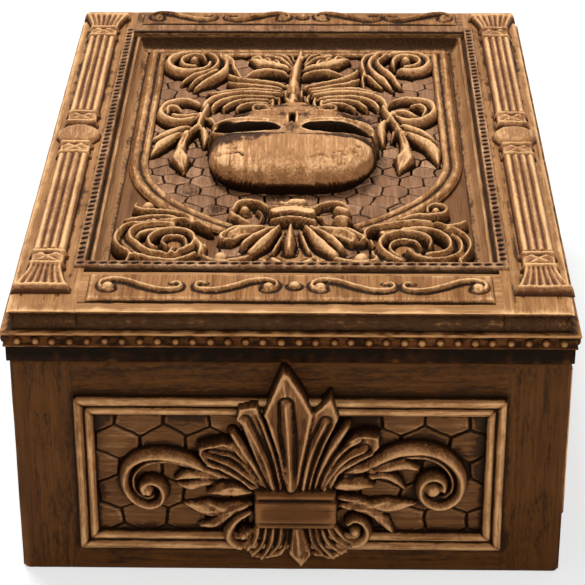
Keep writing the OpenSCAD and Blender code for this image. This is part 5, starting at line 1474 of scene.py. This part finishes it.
def skull():
    """A broad low dome, brow ridges over hollow sockets, and a face that runs in under the palmette."""
    r = Relief(-17.6, 17.6, -22.9, 21.4, 0.2)
    x, y = r.X, r.Y
    wide = np.interp(
        y, [-22.7, -22.4, -21.6, -19.8, -17, -13.6, -9.6, -5.6, -2, 1.4, 4, 7, 10, 14, 18, 21.2],
        [0.5, 7.0, 10.6, 13.4, 15.6, 16.7, 16.9, 16.9, 16.8, 15.8, 13.4, 12.6, 11.6, 9.4, 6.4, 3])
    tall = np.interp(
        y, [-22.7, -22, -20.8, -19, -16.6, -14.4, -11.6, -9, -7.2, -5.4, -2, 2, 6, 10, 14, 18, 21.2],
        [2.2, 4.2, 5.9, 6.9, 7.4, 7.65, 7.7, 7.55, 7.2, 6.5, 5.9, 5.6, 5.2, 4.5, 3.3, 2.6, 1.8])
    q = np.abs(x) / np.maximum(wide, 0.3)
    body = tall * (0.35 + 0.65 * np.clip(1 - q ** 6, 0, 1) ** 0.5)
    r.H = np.where((q < 1) & (y > -22.55), body, -1)
    r.soften(1.4)
    s = r.stroke
    for e in (-1, 1):
        s(smooth((e * 15.4, -6), (e * 16.2, -2), (e * 15.2, 2.6), (e * 12.6, 5.4)), [1.0, 1.6, 1.7, 1.4],
          [5.2, 5.3, 5.2, 4.8])
        s(smooth((e * 2.4, 8.6), (e * 5.6, 9.9), (e * 9.4, 9.2), (e * 12.8, 8.2)), [1.2, 1.5, 1.5, 1.0],
          [5.4, 5.4, 5.0, 4.2], moat=0.7)
        s(smooth((e * 2.6, 10.4), (e * 3.6, 12.6), (e * 4.2, 15.4)), [1.4, 1.2, 0.7], [5.0, 4.2, 3.2],
          moat=0.4)
        # a small curl where the cheek meets the palmette
        s(smooth((e * 5.2, 13.6), (e * 6, 15.6), (e * 7.8, 15.8), (e * 8.8, 14.2), (e * 8.2, 12.6),
                 (e * 6.8, 12.8)), [0.6, 0.7, 0.7, 0.6], [4.1, 4.2, 4.3, 4.2], moat=0.3)
    s(arr((-0.4, -4), (-0.4, 10)), [2.3, 1.9, 1.7], [6.5, 6.2, 5.6])
    # a shallow valley between the dome and the brows
    r.cut(smooth((-16.6, -6.6), (-12, -7.6), (-7, -7.2), (-2.4, -6.2)), 0.7, 0.45)
    r.cut(smooth((2, -6.2), (7, -8), (11, -9), (15.6, -9.6)), 0.7, 0.45)
    # rims, then the sockets within them
    for line, h in (
        (smooth((-16.4, -4.4), (-13, -5.6), (-8, -5.3), (-4, -4.1)), 6.5),
        (smooth((2.6, -4.2), (7.6, -5.9), (11.8, -7.2), (15.8, -7.8)), 6.5),
        (smooth((-16.4, 0.4), (-12.6, 3.1), (-8, 3.7), (-3.2, 2.2)), 6.2),
        (smooth((1.8, 1.8), (5.2, 3.8), (9.6, 3.8), (13, 1.9), (16, -2.2)), 6.2),
    ):
        s(line, 1.15, h)
    left = [(-16, -2.5), (-15, 0.4), (-13, 1.9), (-9.5, 2.3), (-6, 1.8), (-4, 0.7), (-3, -1.2), (-4, -2.8),
            (-7, -4), (-11, -4.6), (-14.4, -4.4)]
    right = [(2, -1.4), (2.8, 1), (5.6, 2.4), (9.8, 2.4), (12.2, 0.9), (14, -1.4), (15.9, -4.6),
             (15.6, -6.6), (11, -6), (7.8, -4.9), (3.8, -3.3)]
    hollow = inside(smooth(*left, left[0]), x, y) | inside(smooth(*right, right[0]), x, y)
    r.H = np.where(hollow, 1.1, r.H)
    for rim in (-1.25, 0.55):
        s(arr((rim, 2.4), (rim, 9.8)), [0.3, 0.45, 0.4], [5.6, 6.1, 5.4], moat=0.3)
    r.cut(arr((-0.4, 2.4), (-0.35, 10)), [0.35, 0.6, 0.5], 4.0)
    for px, py, pr in ((-2.6, 13.4, 0.6), (0.6, 13.6, 0.6), (2.2, 12, 0.5)):
        r.cut([(px, py), (px + 0.2, py)], pr, 3.4)
    # cracks and worn pits
    r.cut(smooth((-14.5, -15.5), (-12, -16.6), (-10.2, -16.4), (-9.4, -17.6)), 0.35, 0.7)
    r.cut(smooth((-13.2, -14.2), (-11.6, -15), (-10.6, -14.8)), 0.25, 0.4)
    r.cut(smooth((4, -18.5), (6.4, -17.4), (7.4, -18.4)), 0.3, 0.45)
    r.cut(smooth((8.6, -16.8), (10.6, -16), (12.2, -16.6)), 0.3, 0.4)
    for px, py, pr in ((12.4, -15.5, 0.8), (13.4, -13.2, 0.6), (10.6, -17.2, 0.6), (8.4, -18.6, 0.5)):
        r.cut([(px, py), (px + 0.4, py + 0.3)], pr, 0.5)
    on = r.H > 0.3
    r.H += np.where(on, 0.09 * r.grain("y", 71) + 0.14 * r.noise(72, 0.4), 0)
    r.soften(0.9)
    r.H = np.minimum(r.H, 7.7)
    wash_and_shade, worn = r.shades(1.6, 0.3)
    # painted shadow in and round the sockets, and along the valley under the brows
    shadow = np.clip(blur(hollow.astype(float), 2.2) * 4 - 0.3, 0, 1)
    valley = np.exp(-((y + 7.6 + 0.1 * x) / 0.9) ** 2) * (np.abs(x) > 1.5)
    # painted shadow on the dome where it meets the rims, most of all on the left
    low = -8.4 - np.where(x < 0, 4.6 * np.clip((-x - 3) / 10, 0, 1), 1.2 * np.clip((x - 2) / 6, 0, 1))
    painted_shade = np.clip((y - low) / 3 + 0.4 + 0.5 * r.noise(74, 1.4, 0.5), 0, 1) * np.clip((-6 - y) / 0.8, 0, 1)
    painted_shade = painted_shade * np.clip((np.abs(x) - 1) / 2, 0, 1) * np.where(x < 0, 0.45, 0.22)
    # painted shade in the hollows each side of the curls, beside the nose, in the curls' eyes and under
    # them, and over the nose
    spots = [(amount, e * px, py, wide_x, wide_y) for e in (-1, 1) for amount, px, py, wide_x, wide_y in (
        (0.9, 11.4, 10.4, 2.4, 2.4), (0.35, 2.4, 7.5, 0.9, 2.6), (0.8, 7, 14.2, 1.0, 0.9),
        (0.5, 3.4, 18, 2.4, 1.6))]
    for amount, px, py, wide_x, wide_y in spots + [(0.3, -0.4, -1.4, 2, 4)]:
        painted_shade = np.maximum(painted_shade, amount * np.exp(-((x - px) / wide_x) ** 2 - ((y - py) / wide_y) ** 2))
    streaks = 0.5 * grain(x * 1.4, y, "y", 75) * np.clip((2 - x) / 8, 0.25, 1) * (y < -7)
    # painted shade at the foot of the dome; the dome's near face gets less of the hollows' shade
    foot = np.clip((2.6 - r.H) / 1.6, 0, 1) * (y < -8)
    front = np.clip(np.maximum((-17 - y) / 2, (q - 0.9) / 0.06), 0, 1) * (y < -8)
    front = front * np.clip((r.H - 1.8) / 0.8, 0, 1)
    wash_and_shade = wash_and_shade * (1 - 0.75 * front) + 0.4 * valley + foot + shadow + painted_shade + 0.35 * np.maximum(-streaks, 0)
    wash_and_shade = np.clip(wash_and_shade, 0, 1)
    # paler on the dome's top, wear and a painted highlight; less pale in the painted shade and shadows
    worn = np.clip(worn + 0.2 * (r.H > 5) * (y < -8) - 0.2 * valley - shadow - painted_shade + streaks, 0, 1)

    def place(u, v, h):
        # the foot of the dome is drawn in, so that its near edge overhangs
        tuck = 1.6 * (1 - np.clip(h / 3.0, 0, 1)) ** 1.5 * np.clip((-v - 8) / 8, 0, 1)
        across = u * (1 - 0.05 * tuck) - 0.4 - 0.4 * np.clip((-v - 7) / 4, 0, 1)
        return np.stack([across, v + OPEN_Y + tuck, FIELD_Z + h], 1)

    settle(solid(r, "skull_carved", place, BONE, 0.1, (wash_and_shade, worn)), "lid", "carving", "skull")


# Columns

def column(sign, word):
    r = Relief(-5.6, 5.6, -69, 69, 0.22)
    x, across, y = r.X, np.abs(r.X), np.abs(r.Y)

    def bar(q, h, half_w):
        """A rounded bar across the column, q from its middle in half widths."""
        return h * np.clip(1 - q ** 2, 0, 1) ** 0.5 * np.clip((half_w - across) / 0.6, 0, 1) ** 0.4

    # shaft of reeds
    reed = np.abs(((x / 6 + 0.5) * 4) % 1 - 0.5) * 2
    body = 0.75 + 1.15 * np.clip(1 - reed ** 2, 0, 1) ** 0.6 * (1 - 0.25 * (x / 3) ** 2)
    r.H = np.where((across < 3.0) & (y < 60.5), body, -1)
    # crossed bands between two rings
    half = 2.75
    for mid in (7.85, 57.25):
        u, v = x / 3.1, (y - mid) / half
        cross = np.minimum(np.abs(u - v), np.abs(u + v))
        body = 1.1 + 0.75 * np.exp(-(cross / 0.28) ** 2) * (1 - 0.3 * u * u)
        r.H = np.where((y > mid - half) & (y < mid + half) & (across < 3.1), body, r.H)
        for e in (-1, 1):
            d = np.abs(y - (mid + e * (half - 0.35)))
            ring = np.where((d < 0.62) & (across < 3.45), bar(d / 0.62, 1.95, 3.45), -1)
            r.H = np.maximum(np.where((d < 0.85) & (across < 3.4), np.minimum(r.H, 0.9), r.H), ring)
    # knop
    d = np.hypot(x / 4.5, r.Y / 4.3)
    knop = np.where(d < 1, 2.25 * np.clip(1 - d ** 2, 0, 1) ** 0.4, -1)
    seat = np.where(across < 4.2 * np.sqrt(np.clip(1 - (y / 5.2) ** 2, 0, 1)), 0.6, -1)
    r.H = np.maximum(np.where(y < 4.9, seat, r.H), knop)
    # flared and fluted ends
    run = np.clip((y - 60) / 8, 0, 1)
    wide = 3.0 + 1.9 * run ** 1.4
    flute = np.cos(2 * np.pi * 3.5 * x / wide)
    flare = np.where((y < 68.2) & (across < wide), 1.25 + 0.35 * flute + 0.25 * run, -1)
    r.H = np.where(y >= 60, flare, r.H)
    foot = np.where((y > 67.3) & (y <= 68.9) & (across < 5.3), bar((y - 68.1) / 0.85, 1.75, 5.3), -1)
    r.H = np.maximum(r.H, foot)
    r.soften(0.7)
    r.age("y", 80 + sign, 0.05, 0.07)
    r.H = np.minimum(r.H, 2.28)
    wash_and_shade, worn = r.shades(2.2, 0.5)
    # the right column's near end stands out a little
    out = 0.3 if sign > 0 else 0.0
    piece = solid(r, "column_" + word + "_carved",
                  lambda u, v, h: np.stack([u + sign * 44.4 + out * (1 - v / 69), v, TOP_Z + h], 1), REED,
                  0.2, (0.9 * wash_and_shade, np.clip(0.95 * worn + 0.05, 0, 1)))
    settle(piece, "lid", "moulding", "column_" + word)


# Plaques with four S-scrolls and a bead

def plaque(y0, y1, node, seed):
    r = Relief(-36.2, 36.2, y0, y1, 0.2)
    mid = (y0 + y1) / 2
    inset = r.inset(-36.2, 36.2, y0, y1)
    r.H = 0.12 + 0.5 * np.clip(inset / 0.7, 0, 1) ** 0.7
    # each scroll runs from its ball, up over it and down to a small curl, to the right where d is 1
    for ball, curl, d in ((-32.6, -20.6, 1), (-3.8, -15.8, -1), (5.2, 17.4, 1), (33.4, 21.2, -1)):
        start = [(ball + d * u, mid + v)
                 for u, v in ((1.1, -1.5), (0.2, -2.0), (-1.1, -1.2), (-1.2, 0.8), (0.6, 1.9), (3.4, 1.3))]
        end = [(curl + d * u, mid + v) for u, v in ((-2.6, -2.0), (0.3, -1.7), (1.1, -0.2), (0.5, 1.1),
                                                    (-0.7, 0.9))]
        r.stroke(smooth(*start, ((ball + curl) / 2, mid - 0.4), *end),
                 [0.35, 0.5, 0.6, 0.62, 0.62, 0.6, 0.5, 0.35], [1.2, 1.45, 1.55, 1.6, 1.6, 1.55, 1.4, 1.1],
                 base=0.5, moat=0.25)
        r.ball(ball + d * 0.1, mid - 0.7, 1.15, 1.6, base=0.5, moat=0.3)
    r.ball(0.7, mid - 0.2, 1.2, 1.6, base=0.5, moat=0.35)
    r.soften(0.6)
    r.H = np.clip(r.H + 0.03 * r.grain("x", seed), 0.03, 1.6)
    wash_and_shade, worn = r.shades(2.6, 0.9)
    worn = np.clip(worn + 0.25 * np.exp(-inset / 0.5), 0, 1)
    if y0 > 0:
        # the far one is duller
        wash_and_shade, worn = np.clip(wash_and_shade + 0.08 + 0.15 * r.noise(seed, 0.5), 0, 1), 0.5 * worn
    settle(solid(r, node + "_carved", on_top, ORNAMENT, 0.2, (wash_and_shade, worn)), "lid", "moulding", node)


# Felts

def felt_sheet(name, node, body, hx, hy, z0, z1, seed):
    """A felt with soft edges. It lies flat, so its flat size is its own."""
    r = Relief(-hx, hx, -hy, hy, 1.0)
    edge_in = np.clip(1 - r.inset(-hx, hx, -hy, hy) / 1.2, 0, 1)
    r.H = (z1 - z0) - 0.15 * edge_in ** 2 - 0.05 * (1 + r.noise(seed, 0.5))
    piece = solid(r, name, lambda x, y, h: np.stack([x, y, z0 + h], 1), FELT, 0.0, (r.H * 0, r.H * 0),
                  np.ones(r.H.shape, bool))
    settle(piece, body, "felt", node)


def dress(material, *nodes):
    """Gives a material to solids that are shown as they are."""
    for name in nodes:
        mesh = NODES[name].data
        mesh.materials.clear()
        mesh.materials.append(material)


panels()
walls()
lid_edges()
lid_boards()
pitted("pits_near", -39.5, 39.5, -58.7, OPEN_NEAR, "bead_strip_near", 91)
pitted("pits_left", -39.5, -37.6, -56.8, 62.5, "bead_strip_left", 92)
pitted("pits_right", 37.6, 39.5, -56.8, 62.5, "bead_strip_right", 93)
far_band()
recess_ring()
arch()
lid_comb()
crown()
spray(-1, "left")
spray(1, "right")
far_scroll(-1, "left")
far_scroll(1, "right")
near_carvings()
skull()
column(-1, "left")
column(1, "right")
plaque(-72.0, -61.8, "plaque_near", 95)
plaque(65.0, 72.0, "plaque_far", 96)
felt_sheet("pad", "base_felt", "base", 45, 70, 0, 1, 1)
felt_sheet("inside_felt", "floor_felt", "base", 43.4, 68.4, 5, 5.8, 2)
felt_sheet("lid_felt", "lid_lining", "lid", 45.3, 70.3, 47.5, 48.3, 3)
dress(WALL["y"], "floor_board")
dress(DECK, "lid_board")
dress(LINER, *("liner_" + side for side in SIDES))


# Floor, backdrop and light

def white_to_camera(tree, surface, share, white, output):
    """Mixes a white into a surface by this share, for camera rays alone."""
    rays = tree.nodes.new("ShaderNodeLightPath").outputs["Is Camera Ray"]
    if share != 1:
        part = tree.nodes.new("ShaderNodeMath")
        part.operation = "MULTIPLY"
        tree.links.new(rays, part.inputs[0])
        part.inputs[1].default_value = share
        rays = part.outputs[0]
    mix = tree.nodes.new("ShaderNodeMixShader")
    for socket, source in zip(mix.inputs, (rays, surface, white)):
        tree.links.new(source, socket)
    tree.links.new(mix.outputs[0], output.inputs["Surface"])


# In metres
FLOOR_HALF = 4.0
LAMPS_LOOK_AT = (0, 0, 0.03)


def stage():
    """A pale floor that fades into the backdrop, and an even white light all round."""
    n = Nodes("floor")
    shader = n.add("ShaderNodeBsdfDiffuse")
    shade = n.mix(n.ramp(n.noise((3, 3, 3), 2), 0.2, 0.8), srgb(236, 236, 236), srgb(243, 243, 243))
    n.link(shade, shader.inputs["Color"])
    white_to_camera(n.tree, shader.outputs[0], 0.6, n.add("ShaderNodeEmission").outputs[0], n.out)
    mesh = bpy.data.meshes.new("floor")
    s = FLOOR_HALF
    mesh.from_pydata([(-s, -s, 0), (s, -s, 0), (s, s, 0), (-s, s, 0)], [], [(0, 1, 2, 3)])
    mesh.materials.append(n.mat)
    floor = bpy.data.objects.new("floor", mesh)
    SCENE.collection.objects.link(floor)

    SCENE.world = bpy.data.worlds.new("world")
    SCENE.world.use_nodes = True
    tree = SCENE.world.node_tree
    back = tree.nodes["Background"]
    back.inputs["Color"].default_value = (1, 1, 1, 1)
    back.inputs["Strength"].default_value = 0.5
    white = tree.nodes.new("ShaderNodeBackground")
    white.inputs["Strength"].default_value = 1.0
    white_to_camera(tree, back.outputs[0], 1, white.outputs[0], tree.nodes["World Output"])


def lamp(name, at, size, watts):
    """A round lamp that looks at the middle of the box."""
    data = bpy.data.lights.new(name, "AREA")
    data.shape = "DISK"
    data.size = size
    data.energy = watts
    obj = bpy.data.objects.new(name, data)
    at = Vector(at)
    turn = (Vector(LAMPS_LOOK_AT) - at).to_track_quat("-Z", "Y").to_matrix().to_4x4()
    obj.matrix_world = Matrix.Translation(at) @ turn
    SCENE.collection.objects.link(obj)


stage()
lamp("key", (-0.2, 0.3, 0.9), 0.35, 9.5)
lamp("fill", (0.4, -0.9, 0.6), 0.8, 5.0)
SCENE.view_settings.view_transform = "Standard"
